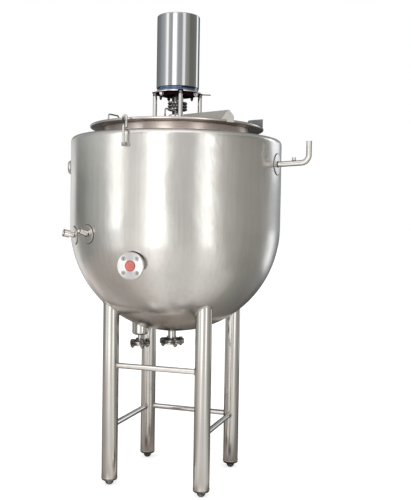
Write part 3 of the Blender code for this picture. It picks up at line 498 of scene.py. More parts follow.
class Shader(Nodes):
    """The node tree of one material."""

    def __init__(self, name: str) -> None:
        """Starts a material with a Principled shader.

        Args:
            name: The material's name.
        """
        self.material = bpy.data.materials.new(name)
        self.material.use_nodes = True
        super().__init__(self.material.node_tree)
        self.inputs = self.tree.nodes["Principled BSDF"].inputs
        self.object = self.node("TexCoord", {}).outputs["Object"]

    def round_axis(self, place: np.ndarray) -> tuple[Output, Output]:
        """Distance from a frame's +Z axis, and the direction straight away from it.

        With P the place, O the frame's origin and a its axis, the way out is D = (P - O) - ((P - O) . a) a.

        Args:
            place: Frame in the vessel's coordinates.

        Returns:
            The length of D, and D.
        """
        axis = tuple(place[:3, 2])
        away = self.vector("SUBTRACT", self.object, tuple(place[:3, 3] + AXIS))
        along = self.measure("DOT_PRODUCT", away, axis)
        carried = self.node("VectorMath", {0: axis, "Scale": along}, operation="SCALE").outputs["Vector"]
        out = self.vector("SUBTRACT", away, carried)
        return self.measure("LENGTH", out), out

    def noise(self, source: object, scale: float, detail: float = 2.0, rough: float = 0.5) -> Output:
        """Smooth noise between 0 and 1 over the places of a piece."""
        inputs = {"Vector": source, "Scale": scale, "Detail": detail, "Roughness": rough}
        return self.node("TexNoise", inputs).outputs["Fac"]

    def stretched(self, source: object, scales: tuple[float, float, float], detail: float = 2.0) -> Output:
        """Noise drawn out along the directions with the small scales."""
        return self.noise(self.vector("MULTIPLY", source, scales), 1.0, detail)

    def bump(self, height: object, strength: float, distance: float, under: object = None) -> Output:
        """A bump, on top of an earlier one where that is given.

        Args:
            height: The bumps.
            strength: Their strength.
            distance: Their height in metres.
            under: An earlier bump's normal.

        Returns:
            The normal.
        """
        inputs = {"Strength": strength, "Distance": distance, "Height": height}
        if under is not None:
            inputs["Normal"] = under
        return self.node("Bump", inputs).outputs["Normal"]

    def finish(self, colour: object, roughness: object, normal: object, metallic: float) -> bpy.types.Material:
        """Joins the results to the shader and returns the material.

        Args:
            colour: The base colour.
            roughness: The roughness.
            normal: The normal.
            metallic: 1 for a metal, 0 for a paint.

        Returns:
            The material.
        """
        results = {"Base Color": colour, "Roughness": roughness, "Normal": normal, "Metallic": metallic}
        for label, result in results.items():
            self.join(result, self.inputs[label])
        return self.material


@dataclass(frozen=True)
class Steel:
    """A stainless steel finish.

    Fields: the tone and its darker partner, the roughness, the grain, how many lines there are to a metre,
    how deep they show, how strongly the sheet waves, how dappled and how cloudy it is, how far a turned face
    draws its lights out across its rings, how much painted shade darkens a turned face above and below its middle
    in place of the dark arms of its bow-tie reflection, and what is left of the tone at a glancing angle.
    """

    name: str
    tone: tuple[float, float, float] = (0.66, 0.645, 0.61)
    shade: tuple[float, float, float] = (0.54, 0.525, 0.495)
    roughness: float = 0.24
    grain: Grain = Grain.UPRIGHT
    lines: float = 700.0
    depth: float = 0.25
    wave: float = 0.0
    dapple: float = 0.0
    cloud: float = 0.35
    streak: float = 0.0
    painted_fan_shade: float = 0.0
    edge: float = 0.5

    def brushed(self, shader: Shader) -> tuple[Output, Output]:
        """Lines and streaks of a brushed sheet, upright or level.

        Args:
            shader: The material's tree.

        Returns:
            The lines and the streaks.
        """
        upright = self.grain is Grain.UPRIGHT
        fine_scales = (self.lines, self.lines, 14.0) if upright else (14.0, 14.0, self.lines)
        fine = shader.stretched(shader.object, fine_scales, 3.0)
        if self.streak > 0.0:
            shader.join(self.streak, shader.inputs["Anisotropic"])
            shader.join(shader.vector("ADD", tuple(UP)), shader.inputs["Tangent"])
        return fine, shader.stretched(shader.object, (70.0, 70.0, 3.0) if upright else (4.0, 4.0, 90.0))

    def turned(
        self, shader: Shader, place: np.ndarray
    ) -> tuple[Output, Output, Output]:
        """Rings of a turned face.

        Args:
            shader: The material's tree.
            place: Frame whose +Z is the axis of the turning.

        Returns:
            The rings, the streaks and the share of painted shade that darkens the face above and below its
            middle, in place of its bow-tie reflection.
        """
        radius, out = shader.round_axis(place)
        inputs = {"W": radius, "Scale": self.lines, "Detail": 2.0}
        fine = shader.node("TexNoise", inputs, noise_dimensions="1D").outputs["Fac"]
        way = shader.vector("NORMALIZE", out)
        shader.join(self.streak, shader.inputs["Anisotropic"])
        shader.join(way, shader.inputs["Tangent"])
        steep = shader.maths("ABSOLUTE", shader.measure("DOT_PRODUCT", way, tuple(UP)))
        return fine, shader.noise(shader.object, 60.0), shader.span(steep, 0.55, 0.97, 0.0, self.painted_fan_shade)

    def material(self, place: np.ndarray | None = None, tag: str = "") -> bpy.types.Material:
        """Builds the finish, with turned rings centred on a frame.

        Args:
            place: Frame whose +Z is the axis of the turning; the vessel's own axis where none is given.
            tag: Ending of the material's name, where one finish is made for several places.

        Returns:
            The material.
        """
        shader = Shader(self.name + tag)
        coords = shader.object
        painted_fan_shade = None
        if self.grain is Grain.TURNED:
            fine, streak, painted_fan_shade = self.turned(shader, np.eye(4) if place is None else place)
        elif self.grain is Grain.CAST:
            fine, streak = shader.noise(coords, self.lines, 4.0, 0.65), shader.noise(coords, 40.0)
        else:
            fine, streak = self.brushed(shader)
        clouds = shader.noise(coords, 5.0, 4.0, 0.55)
        worn = shader.maths("ADD", shader.maths("MULTIPLY", streak, 0.5), shader.maths("MULTIPLY", clouds, 0.5))
        colour = shader.blend(shader.span(worn, 0.36, 0.66, 0.0, self.cloud), self.tone, self.shade)
        # Painted shade: the turned face darkens above and below its middle, painting the dark arms of its bow-tie
        # reflection.
        if painted_fan_shade is not None:
            colour = shader.blend(painted_fan_shade, colour, (0.0, 0.0, 0.0))
        rough = shader.maths(
            "ADD",
            shader.span(fine, 0.25, 0.75, self.roughness * 0.88, self.roughness * 1.12),
            shader.span(clouds, 0.35, 0.65, -0.02, 0.03),
        )
        normal = shader.bump(fine, self.depth, 0.00012)
        if self.wave > 0.0:
            normal = shader.bump(shader.stretched(coords, (3.1, 3.1, 4.3), 1.0), self.wave, 0.02, normal)
        if self.dapple > 0.0:
            normal = shader.bump(shader.stretched(coords, (26.0, 26.0, 19.0), 3.0), self.dapple, 0.004, normal)
        shader.join((self.edge, self.edge, self.edge, 1.0), shader.inputs["Specular Tint"])
        return shader.finish(colour, rough, normal, 1.0)


@dataclass(frozen=True)
class Paint:
    """An enamel or a plastic.

    Fields: the base colour, the worn colour, the roughness, how much is worn, the coat, the bumps' depth and
    the shine.
    """

    name: str
    tone: tuple[float, float, float]
    worn: tuple[float, float, float]
    roughness: float
    wear: float
    coat: float = 0.0
    depth: float = 0.2
    shine: float = 0.5

    def material(self) -> bpy.types.Material:
        """Builds the finish.

        Returns:
            The material.
        """
        shader = Shader(self.name)
        skin = shader.noise(shader.object, 900.0, 3.0)
        patches = shader.noise(shader.object, 55.0, 5.0, 0.7)
        share = shader.span(patches, 0.72 - self.wear, 0.80 - self.wear * 0.6)
        colour = shader.blend(share, self.tone, self.worn)
        rough = shader.span(patches, 0.3, 0.7, self.roughness * 0.85, self.roughness * 1.2)
        shader.join(self.coat, shader.inputs["Coat Weight"])
        shader.join(self.shine, shader.inputs["Specular IOR Level"])
        return shader.finish(colour, rough, shader.bump(skin, self.depth, 0.0003), 0.0)


JACKET = Steel("jacket_satin", wave=0.22, dapple=0.14, roughness=0.22, cloud=0.30, depth=0.12, edge=1.0)
NECK = Steel(
    "neck_warm_satin", tone=(0.88, 0.80, 0.75), shade=(0.66, 0.56, 0.50), grain=Grain.LEVEL, roughness=0.42,
    cloud=0.5, streak=0.9,
)
BEAD = Steel(
    "rim_bead_satin", tone=(0.72, 0.69, 0.65), shade=(0.58, 0.53, 0.48), grain=Grain.LEVEL, roughness=0.16,
)
# A darker steel. Under the rim's plate, and on the weld beneath it, its dark tone is painted shade under the
# rim's overhang.
DARK_SHADE_STEEL = Steel(
    "dark_steel_painted_shade", tone=(0.54, 0.46, 0.42), shade=(0.32, 0.26, 0.24), grain=Grain.CAST, roughness=0.24,
    lines=260.0,
)
SHEET = Steel("lid_sheet", tone=(0.68, 0.67, 0.64), roughness=0.30, cloud=0.4, wave=0.1)
FOLDED = Steel(
    "folded_sheet", tone=(0.68, 0.66, 0.62), shade=(0.56, 0.54, 0.50), roughness=0.42, cloud=0.5, wave=0.1,
)
DULL = Steel("dull_plate", tone=(0.20, 0.20, 0.20), shade=(0.09, 0.09, 0.09), roughness=0.30, cloud=0.8)
MIRROR = Steel(
    "cover_bright_sheet", tone=(0.46, 0.465, 0.46), shade=(0.38, 0.39, 0.39), roughness=0.07, wave=0.04,
)
TUBE = Steel(
    "tube_satin", tone=(0.66, 0.64, 0.605), roughness=0.13, lines=900.0, depth=0.25, cloud=0.4, edge=0.25,
)
POLISHED = Steel("polished_tube", tone=(0.72, 0.70, 0.66), roughness=0.10, lines=900.0, depth=0.10, edge=0.25)
POST = Steel("post_polished", tone=(0.60, 0.59, 0.57), roughness=0.06, lines=900.0, depth=0.10, edge=0.3)
WIRE = Steel("bent_wire", roughness=0.2, grain=Grain.CAST, lines=500.0, depth=0.1, edge=0.3)
FORGED = Steel(
    "forged_fittings", tone=(0.86, 0.82, 0.79), roughness=0.13, grain=Grain.CAST, lines=380.0, edge=0.2,
)
# Its painted fan shade darkens turned faces above and below their middles.
TURNED = Steel(
    "lathe_turned", tone=(0.80, 0.785, 0.77), shade=(0.66, 0.65, 0.63), grain=Grain.TURNED, lines=1500.0,
    depth=0.3, roughness=0.32, streak=0.92, painted_fan_shade=0.30,
)
BOLTS = Steel("bolt_steel", tone=(0.68, 0.66, 0.62), roughness=0.22, grain=Grain.CAST, lines=700.0)
DARK_BOLTS = Steel(
    "dark_bolts", tone=(0.22, 0.20, 0.19), shade=(0.10, 0.09, 0.09), roughness=0.3, grain=Grain.CAST,
)
# A darker steel; round the nozzle's holes it is painted shade at their edges.
WORN_AND_SHADED = Steel(
    "worn_and_shaded_edges", tone=(0.40, 0.39, 0.38), shade=(0.22, 0.21, 0.20), roughness=0.25, grain=Grain.CAST,
    cloud=0.9,
)
WELD = Steel(
    "weld_bead", tone=(0.60, 0.57, 0.53), shade=(0.42, 0.36, 0.30), roughness=0.33, grain=Grain.CAST,
    lines=420.0,
)
SEAM = Steel("dark_seam", tone=(0.11, 0.095, 0.09), shade=(0.05, 0.045, 0.04), roughness=0.45, grain=Grain.CAST)
# A near-black steel; in the sockets' bores it is painted shade.
OILY_AND_SHADE = Steel(
    "oily_dark_steel_and_shade", tone=(0.06, 0.05, 0.05), shade=(0.02, 0.018, 0.018), roughness=0.30, grain=Grain.CAST,
)
CHAIN = Steel(
    "chain_plates", tone=(0.44, 0.42, 0.41), shade=(0.15, 0.14, 0.13), roughness=0.13, grain=Grain.CAST,
    cloud=0.8,
)
BRIGHT = Steel(
    "bright_nuts", tone=(0.96, 0.94, 0.93), shade=(0.80, 0.78, 0.76), roughness=0.45, grain=Grain.CAST,
)
FOOT = Steel(
    "foot_steel", tone=(0.22, 0.21, 0.20), shade=(0.03, 0.03, 0.03), roughness=0.10, grain=Grain.CAST,
    lines=160.0, cloud=1.0,
)
BRACE = Steel(
    "brace_polished", tone=(0.90, 0.885, 0.86), shade=(0.72, 0.70, 0.67), roughness=0.10, lines=900.0,
    depth=0.1, edge=0.3,
)
RIMS = Steel(
    "flange_rims", tone=(0.66, 0.64, 0.61), shade=(0.12, 0.11, 0.10), roughness=0.13, grain=Grain.CAST,
    lines=380.0, cloud=1.0,
)
# Dark maroon that is partly primer and partly painted shade under the motor plate.
PRIMER_AND_SHADE = Paint("maroon_primer_and_shade", (0.022, 0.009, 0.013), (0.07, 0.05, 0.05), 0.45, 0.08, shine=0.0)
BLUE = Paint("blue_enamel", (0.06, 0.115, 0.23), (0.23, 0.30, 0.34), 0.22, 0.14, coat=0.7)
# Black that paints the cover's shadow on the motor's flange.
COVER_SHADOW = Paint("painted_cover_shadow", (0.012, 0.012, 0.014), (0.03, 0.03, 0.03), 0.55, 0.10, depth=0.4, shine=0.2)
CORAL = Paint("coral_plug", (0.70, 0.15, 0.13), (0.50, 0.14, 0.11), 0.42, 0.30, depth=0.4)
# Dark red that paints the shade round the plug's foot.
PLUG_ROOT_SHADE = Paint("plug_root_painted_shade", (0.20, 0.045, 0.045), (0.10, 0.04, 0.04), 0.5, 0.2, shine=0.2)


class Dresser:
    """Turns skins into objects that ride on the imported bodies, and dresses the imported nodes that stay."""

    def __init__(self) -> None:
        """Starts with no materials made."""
        self.made: dict[str, bpy.types.Material] = {}

    def material(self, finish: Steel | Paint) -> bpy.types.Material:
        """The material of a finish, made once."""
        if finish.name not in self.made:
            self.made[finish.name] = finish.material()
        return self.made[finish.name]

    def piece(
        self,
        name: str,
        skin: Skin,
        finish: Steel | Paint,
        slot: Slot,
        body: Body = Body.VESSEL,
        replaces: tuple[str, ...] = (),
        crease: float = 32.0,
    ) -> bpy.types.Object:
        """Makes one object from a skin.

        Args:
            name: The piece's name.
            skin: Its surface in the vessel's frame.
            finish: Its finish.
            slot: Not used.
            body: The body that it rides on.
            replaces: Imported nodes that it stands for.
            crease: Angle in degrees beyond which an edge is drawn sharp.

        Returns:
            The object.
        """
        mesh = bpy.data.meshes.new(name)
        mesh.from_pydata((skin.verts + AXIS).tolist(), [], skin.rows())
        builder = bmesh.new()
        builder.from_mesh(mesh)
        bmesh.ops.remove_doubles(builder, verts=builder.verts, dist=2e-6)
        bmesh.ops.recalc_face_normals(builder, faces=builder.faces)
        builder.to_mesh(mesh)
        builder.free()
        mesh.shade_smooth()
        mesh.set_sharp_from_angle(angle=math.radians(crease))
        mesh.materials.append(self.material(finish))
        item = bpy.data.objects.new(name, mesh)
        bpy.context.scene.collection.objects.link(item)
        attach(item, body.value)
        if replaces:
            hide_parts(*replaces)
        LOG.info("%s: %d faces on %s", name, len(mesh.polygons), body.value)
        return item

    def node(self, name: str, finish: Steel | Paint, material: bpy.types.Material | None = None) -> None:
        """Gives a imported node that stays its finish.

        Args:
            name: The node's name.
            finish: Its finish.
            material: A material of that finish made for the node's place, if there is one.
        """
        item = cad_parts[name]
        item.data.materials.clear()
        item.data.materials.append(self.material(finish) if material is None else material)
        LOG.info("%s: packed node in %s", name, finish.name)


# The vessel


@dataclass(frozen=True)
class VesselSize:
    """Sizes of the jacket, the pan and the rim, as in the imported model."""

    radius: float = 0.5
    wall: float = 0.004
    equator: float = 1.2086
    top: float = 1.620
    shoulder: float = 0.022
    fillet: float = 0.012
    neck: float = 0.3435
    pan_wall: float = 0.005
    pan_centre: float = 1.120
    rim: float = 1.668
    rim_plate: float = 0.004
    rim_radius: float = 0.413
    rim_bead: float = 0.006
    lid_top: float = 1.6753
    outlet: float = 0.020
    outlet_x: float = -0.0103
    outlet_near: float = 0.025
    outlet_blend: float = 0.095
    swell: float = 0.0007
    swell_height: float = 0.11
    flatten: float = 0.00105
    sides: int = 192

    def sphere_height(self, across: np.ndarray) -> np.ndarray:
        """Height of the jacket's round bottom at a distance from the axis."""
        return self.equator - np.sqrt(self.radius**2 - across**2)

    def wall_radius(self, height: float) -> float:
        """Radius of the jacket's outside at a height below its shoulder."""
        return math.sqrt(self.radius**2 - max(self.equator - height, 0.0) ** 2)

    def bowl(self, centre: float, radius: float, steps: int) -> np.ndarray:
        """Half section of a round bottom, from the outlet's hole out to the height of the centre.

        Args:
            centre: Height of the centre.
            radius: Radius of the bottom.
            steps: Steps of the arc.

        Returns:
            Array of points by 2.
        """
        return arc((0.0, centre), radius, -math.degrees(math.acos(self.outlet / radius)), 0.0, steps)


class Assembly:
    """One sub-assembly: the dresser that makes its pieces, and the sizes of the vessel that carries it."""

    def __init__(self, dresser: Dresser, vessel: VesselSize) -> None:
        """Keeps the dresser and the vessel's sizes."""
        self.dresser = dresser
        self.vessel = vessel

    def build(self) -> None:
        """Builds every piece."""
        raise NotImplementedError


class Vessel(Assembly):
    """The jacket, the pan inside it and the rim that closes both."""

    def build(self) -> None:
        """Builds every piece of the vessel."""
        self.jacket()
        self.pan()
        self.rim()

    def jacket_section(self, inset: float) -> np.ndarray:
        """Half section of the jacket's sheet, from the outlet round the bottom and up over the shoulder.

        Args:
            inset: How far inside the jacket's outside it lies.

        Returns:
            Array of points by 2.
        """
        size = self.vessel
        radius, bend = size.radius - inset, size.top - size.shoulder
        wall = np.linspace([radius, size.equator], [radius, bend], 42)[1:-1]
        shoulder = arc((size.radius - size.shoulder, bend), size.shoulder - inset, 0.0, 90.0, 14)
        return np.concatenate([size.bowl(size.equator, radius, 72), wall, shoulder])

    def over_outlet(self, skin: Skin) -> Skin:
        """Moves the hole in a round bottom over to the outlet, and what lies round it less and less.

        Points below the pan's middle move by X s(1 - (r - N) / B), with X the outlet's place, r the distance
        from the axis, N and B the sizes outlet_near and outlet_blend, and s(t) = t^2 (3 - 2 t) held between 0
        and 1.

        Args:
            skin: The surface to move, which is changed in place.

        Returns:
            The same skin.
        """
        size = self.vessel
        distance = np.hypot(skin.verts[:, 0], skin.verts[:, 1])
        share = np.clip(1.0 - (distance - size.outlet_near) / size.outlet_blend, 0.0, 1.0)
        low = skin.verts[:, 2] < size.pan_centre
        skin.verts[:, 0] += size.outlet_x * share**2 * (3.0 - 2.0 * share) * low
        return skin

    def jacket(self) -> None:
        """The jacket's sheet, with a fillet up to the neck, swelling and sinking a little where it was rolled.

        With S the swell, a the angle round the axis and z the height, each point moves outwards by
        S sin(6 a + 2 sin 9 z) near the equator and by S / 2 sin(4 a + 11 z) everywhere. All of it then moves
        inwards by the size called flatten times sin(a)^4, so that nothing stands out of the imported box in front
        or behind. The moves fade out over the last 50 mm below the shoulder.
        """
        size = self.vessel
        neck = size.neck + CLEAR
        fillet = arc((neck + size.fillet, size.top + size.fillet), size.fillet, 270.0, 180.0, 10)
        under = [[neck, size.top - size.wall]]
        inside = self.jacket_section(size.wall)[::-1]
        skin = revolve(np.concatenate([self.jacket_section(0.0), fillet, under, inside]), size.sides)
        angle = np.arctan2(skin.verts[:, 1], skin.verts[:, 0])
        height = skin.verts[:, 2]
        near = np.exp(-(((height - size.equator) / size.swell_height) ** 2))
        swell = near * np.sin(6 * angle + 2 * np.sin(9 * height)) + 0.5 * np.sin(4 * angle + 11 * height)
        move = size.swell * swell - size.flatten * np.sin(angle) ** 4
        free = np.clip((size.top - 0.02 - height) / 0.05, 0.0, 1.0)
        outward = skin.verts.copy()
        outward[:, 2] = np.minimum(height - size.equator, 0.0)
        skin.verts += unit(outward) * (move * free)[:, None]
        packed = ("jacket_wall", "jacket_shoulder", "jacket_bottom")
        self.dresser.piece("jacket_shell", self.over_outlet(skin), JACKET, Slot.SATIN, replaces=packed)

    def pan(self) -> None:
        """The pan, a cylinder over a hemisphere, with its outlet in the middle."""
        size = self.vessel
        outside, inside = (
            np.concatenate([size.bowl(size.pan_centre, radius, 48), [[radius, size.rim]]])
            for radius in (size.neck, size.neck - size.pan_wall)
        )
        skin = self.over_outlet(revolve(np.concatenate([outside, inside[::-1]]), 144))
        self.dresser.piece("pan_shell", skin, NECK, Slot.SATIN, replaces=("inner_pan",))

    def rim(self) -> None:
        """The rim's flat plate, darkened below with painted shade, the round bead on its edge and the weld on the
        neck.
        """
        size = self.vessel
        inner, low, high = size.neck - size.pan_wall, size.rim, size.rim + size.rim_plate
        centre = (size.rim_radius - size.rim_bead, size.rim + size.rim_bead)
        edge = centre[0] - size.rim_bead / 2
        flat = revolve([[inner, high], [inner, low], [edge, low], [edge, high]], size.sides)
        # The plate's dark finish is painted shade under the rim's overhang.
        self.dresser.piece("rim_plate_ring", flat, DARK_SHADE_STEEL, Slot.SATIN, replaces=("rim_ring",))
        section = arc(centre, size.rim_bead, 0.0, 345.0, 23)
        self.dresser.piece("rim_bead_ring", revolve(section, size.sides), BEAD, Slot.SATIN)
        weld = bead(circle(size.neck + 0.001, size.rim - 0.001, 900), 0.0022, 0.007)
        self.dresser.piece("rim_weld", weld, DARK_SHADE_STEEL, Slot.SATIN)


# The lid


@dataclass(frozen=True)
class DoorSize:
    """Where the lid's door is, and its wire handles: place along the hinge, inner end and outer end."""

    azimuth: float = -123.5
    hinge_out: float = 0.172
    hinge_height: float = 0.006
    wire: float = 0.0035
    handle_height: float = 0.050
    bend: float = 0.012
    handles: tuple[tuple[str, float, float, float], ...] = (
        ("left", 0.190, 0.206, 0.289),
        ("right", -0.147, 0.234, 0.322),
    )


class Lid(Assembly):
    """The lid's plate, its door with two handles, the hinges, the hood and the gusset."""

    size = DoorSize()

    def build(self) -> None:
        """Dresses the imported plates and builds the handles."""
        for name in ("lid_fixed", "lid_door", "door_hinge_left", "door_hinge_right"):
            self.dresser.node(name, SHEET)
        self.dresser.node("lid_hood", FOLDED)
        self.dresser.node("rim_gusset", DULL)
        for side, along, inner, outer in self.size.handles:
            self.handle(side, along, inner, outer)

    def handle(self, side: str, along: float, inner: float, outer: float) -> None:
        """A bent wire welded upright on the door, with a weld ring at each foot.

        Args:
            side: Which handle it is.
            along: Its place along the hinge.
            inner: Distance of its inner end from the vessel's axis.
            outer: Distance of its outer end.
        """
        size = self.size
        seat = shift(0.0, size.hinge_out, self.vessel.lid_top + size.hinge_height)
        place = turning("Z", size.azimuth - 90.0) @ seat
        low = -size.hinge_height
        high = low + size.handle_height - size.wire
        near, far = inner - size.hinge_out + size.wire, outer - size.hinge_out - size.wire
        corners = np.array([[along, near, low], [along, near, high], [along, far, high], [along, far, low]])
        wire = rod(rounded(corners, size.bend, 10), size.wire, 16, np.array([1.0, 0.0, 0.0]))
        weld = bead(circle(size.wire + 0.0008, 0.0, 40), 0.0014, 0.003)
        skin = joined([wire] + [weld.placed(shift(along, end, low + 0.0008)) for end in (near, far)])
        packed = f"door_handle_{side}"
        self.dresser.piece(f"{packed}_wire", skin.placed(place), WORN_AND_SHADED, Slot.SATIN, Body.DOOR, (packed,), 60.0)


# The latch


@dataclass(frozen=True)
class LatchSize:
    """The swing hook: pivot, the top of the hook, the knee, the rod, and the eye with its bore and length."""

    pivot: tuple[float, float, float] = (-0.2235, -0.4725, 1.553)
    top: tuple[float, float, float] = (-0.231, -0.372, 1.6835)
    knee: float = 1.632
    nose: float = 1.634
    rod: float = 0.0055
    width: float = 0.0132
    bend: float = 0.012
    eye: float = 0.0075
    eye_bore: float = 0.0033
    eye_length: float = 0.0104


class Latch(Assembly):
    """The hook that swings up over the rim's bead, and its bracket."""

    size = LatchSize()

    def build(self) -> None:
        """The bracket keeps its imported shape; the hook is drawn finer, X along the pin, Y inwards and Z up."""
        self.dresser.node("latch_bracket", JACKET)
        size = self.size
        pivot = np.array(size.pivot)
        way = np.array(size.top) - pivot
        reach = float(np.linalg.norm(way[:2]))
        inward = unit(np.array([way[0], way[1], 0.0]))
        place = frame_of(np.array([inward[1], -inward[0], 0.0]), inward, UP, pivot)
        wire = self.hook(reach).placed(place)
        self.dresser.piece("latch_hook_wire", wire, WIRE, Slot.SATIN, Body.LATCH, ("latch_hook",), 40.0)
        eye, bore, half = size.eye, size.eye_bore, size.eye_length / 2
        collar = revolve([
            [bore, -half], [eye - 0.0007, -half], [eye, -half + 0.001], [eye, half - 0.001],
            [eye - 0.0007, half], [bore, half],
        ], 36).placed(turning("Y", 90.0))
        self.dresser.piece("latch_hook_eye", collar.placed(place), DARK_SHADE_STEEL, Slot.SATIN, Body.LATCH)

    def hook(self, reach: float) -> Skin:
        """The hook's rod: up from the eye, over the rim and down, in the pivot's frame.

        Args:
            reach: Level distance from the pivot to the top of the hook.

        Returns:
            The skin.
        """
        size = self.size
        half = size.width / 2
        top, knee, nose = (height - size.pivot[2] for height in (size.top[2], size.knee, size.nose))
        crown = arc((half, top - half), half, 180.0, 0.0, 12)
        lower = [
            [0.0, 0.0, size.eye * 0.6], [0.0, 0.0, knee * 0.94], [0.0, 0.018, knee + 0.006],
            [0.0, reach - 0.010, top - half - 0.010],
        ]
        path = np.concatenate([lower, np.insert(crown, 1, reach, axis=1), [[size.width, reach, nose]]])
        return rod(rounded(path, size.bend), size.rod, 16, np.array([0.3, 1.0, 0.2]))


# The drive


@dataclass(frozen=True)
class DriveSize:
    """Sizes of the motor stand, the motor and its cover, the coupling and the seal, and the bolts' azimuths."""

    post_circle: float = 0.108
    post: float = 0.010
    post_neck: float = 0.0085
    shoulder: float = 0.0155
    turn: float = 7.0
    plate: float = 1.840
    plate_thick: float = 0.006
    plate_radius: float = 0.112
    gearbox: float = 0.079
    gearbox_bore: float = 0.055
    gearbox_thick: float = 0.009
    bright_circle: float = 0.096
    bright_bolts: tuple[float, ...] = (-142.0, -27.0)
    dark_circle: float = 0.092
    dark_bolts: tuple[float, ...] = (152.0, 41.0, 118.0)
    dark_length: float = 0.014
    flange: float = 0.099
    flange_top: float = 1.866
    bore: float = 0.0123
    body: float = 0.082
    body_length: float = 0.27
    # Black rods that paint the cover's shadow on the flange: their radius, and arcs from, to and how far below
    # the flange's top.
    shadow_radius: float = 0.0034
    shadow_arcs: tuple[tuple[float, float, float], ...] = ((-78.0, -38.0, 0.0045), (-168.0, -150.0, 0.0035))
    cover: float = 0.1016
    cover_wall: float = 0.002
    cover_top: float = 2.2046
    cover_edge: float = 0.004
    seal: float = 0.042
    seal_base: float = 0.054
    seal_foot: float = 0.010
    seal_top: float = 1.742
    shaft: float = 0.015
    coupling: float = 0.044
    coupling_low: float = 1.748
    coupling_hub: float = 0.026
    coupling_neck: float = 0.0275
    coupling_pin: float = 0.012
    chain_gaps: tuple[float, ...] = (0.0045, 0.019, 0.0335)
    coupling_circle: float = 0.036
    links: int = 20
    link: tuple[float, float, float] = (0.0038, 0.0046, 0.0024)
    keys: int = 8
    key: tuple[float, float] = (0.003, 0.014)


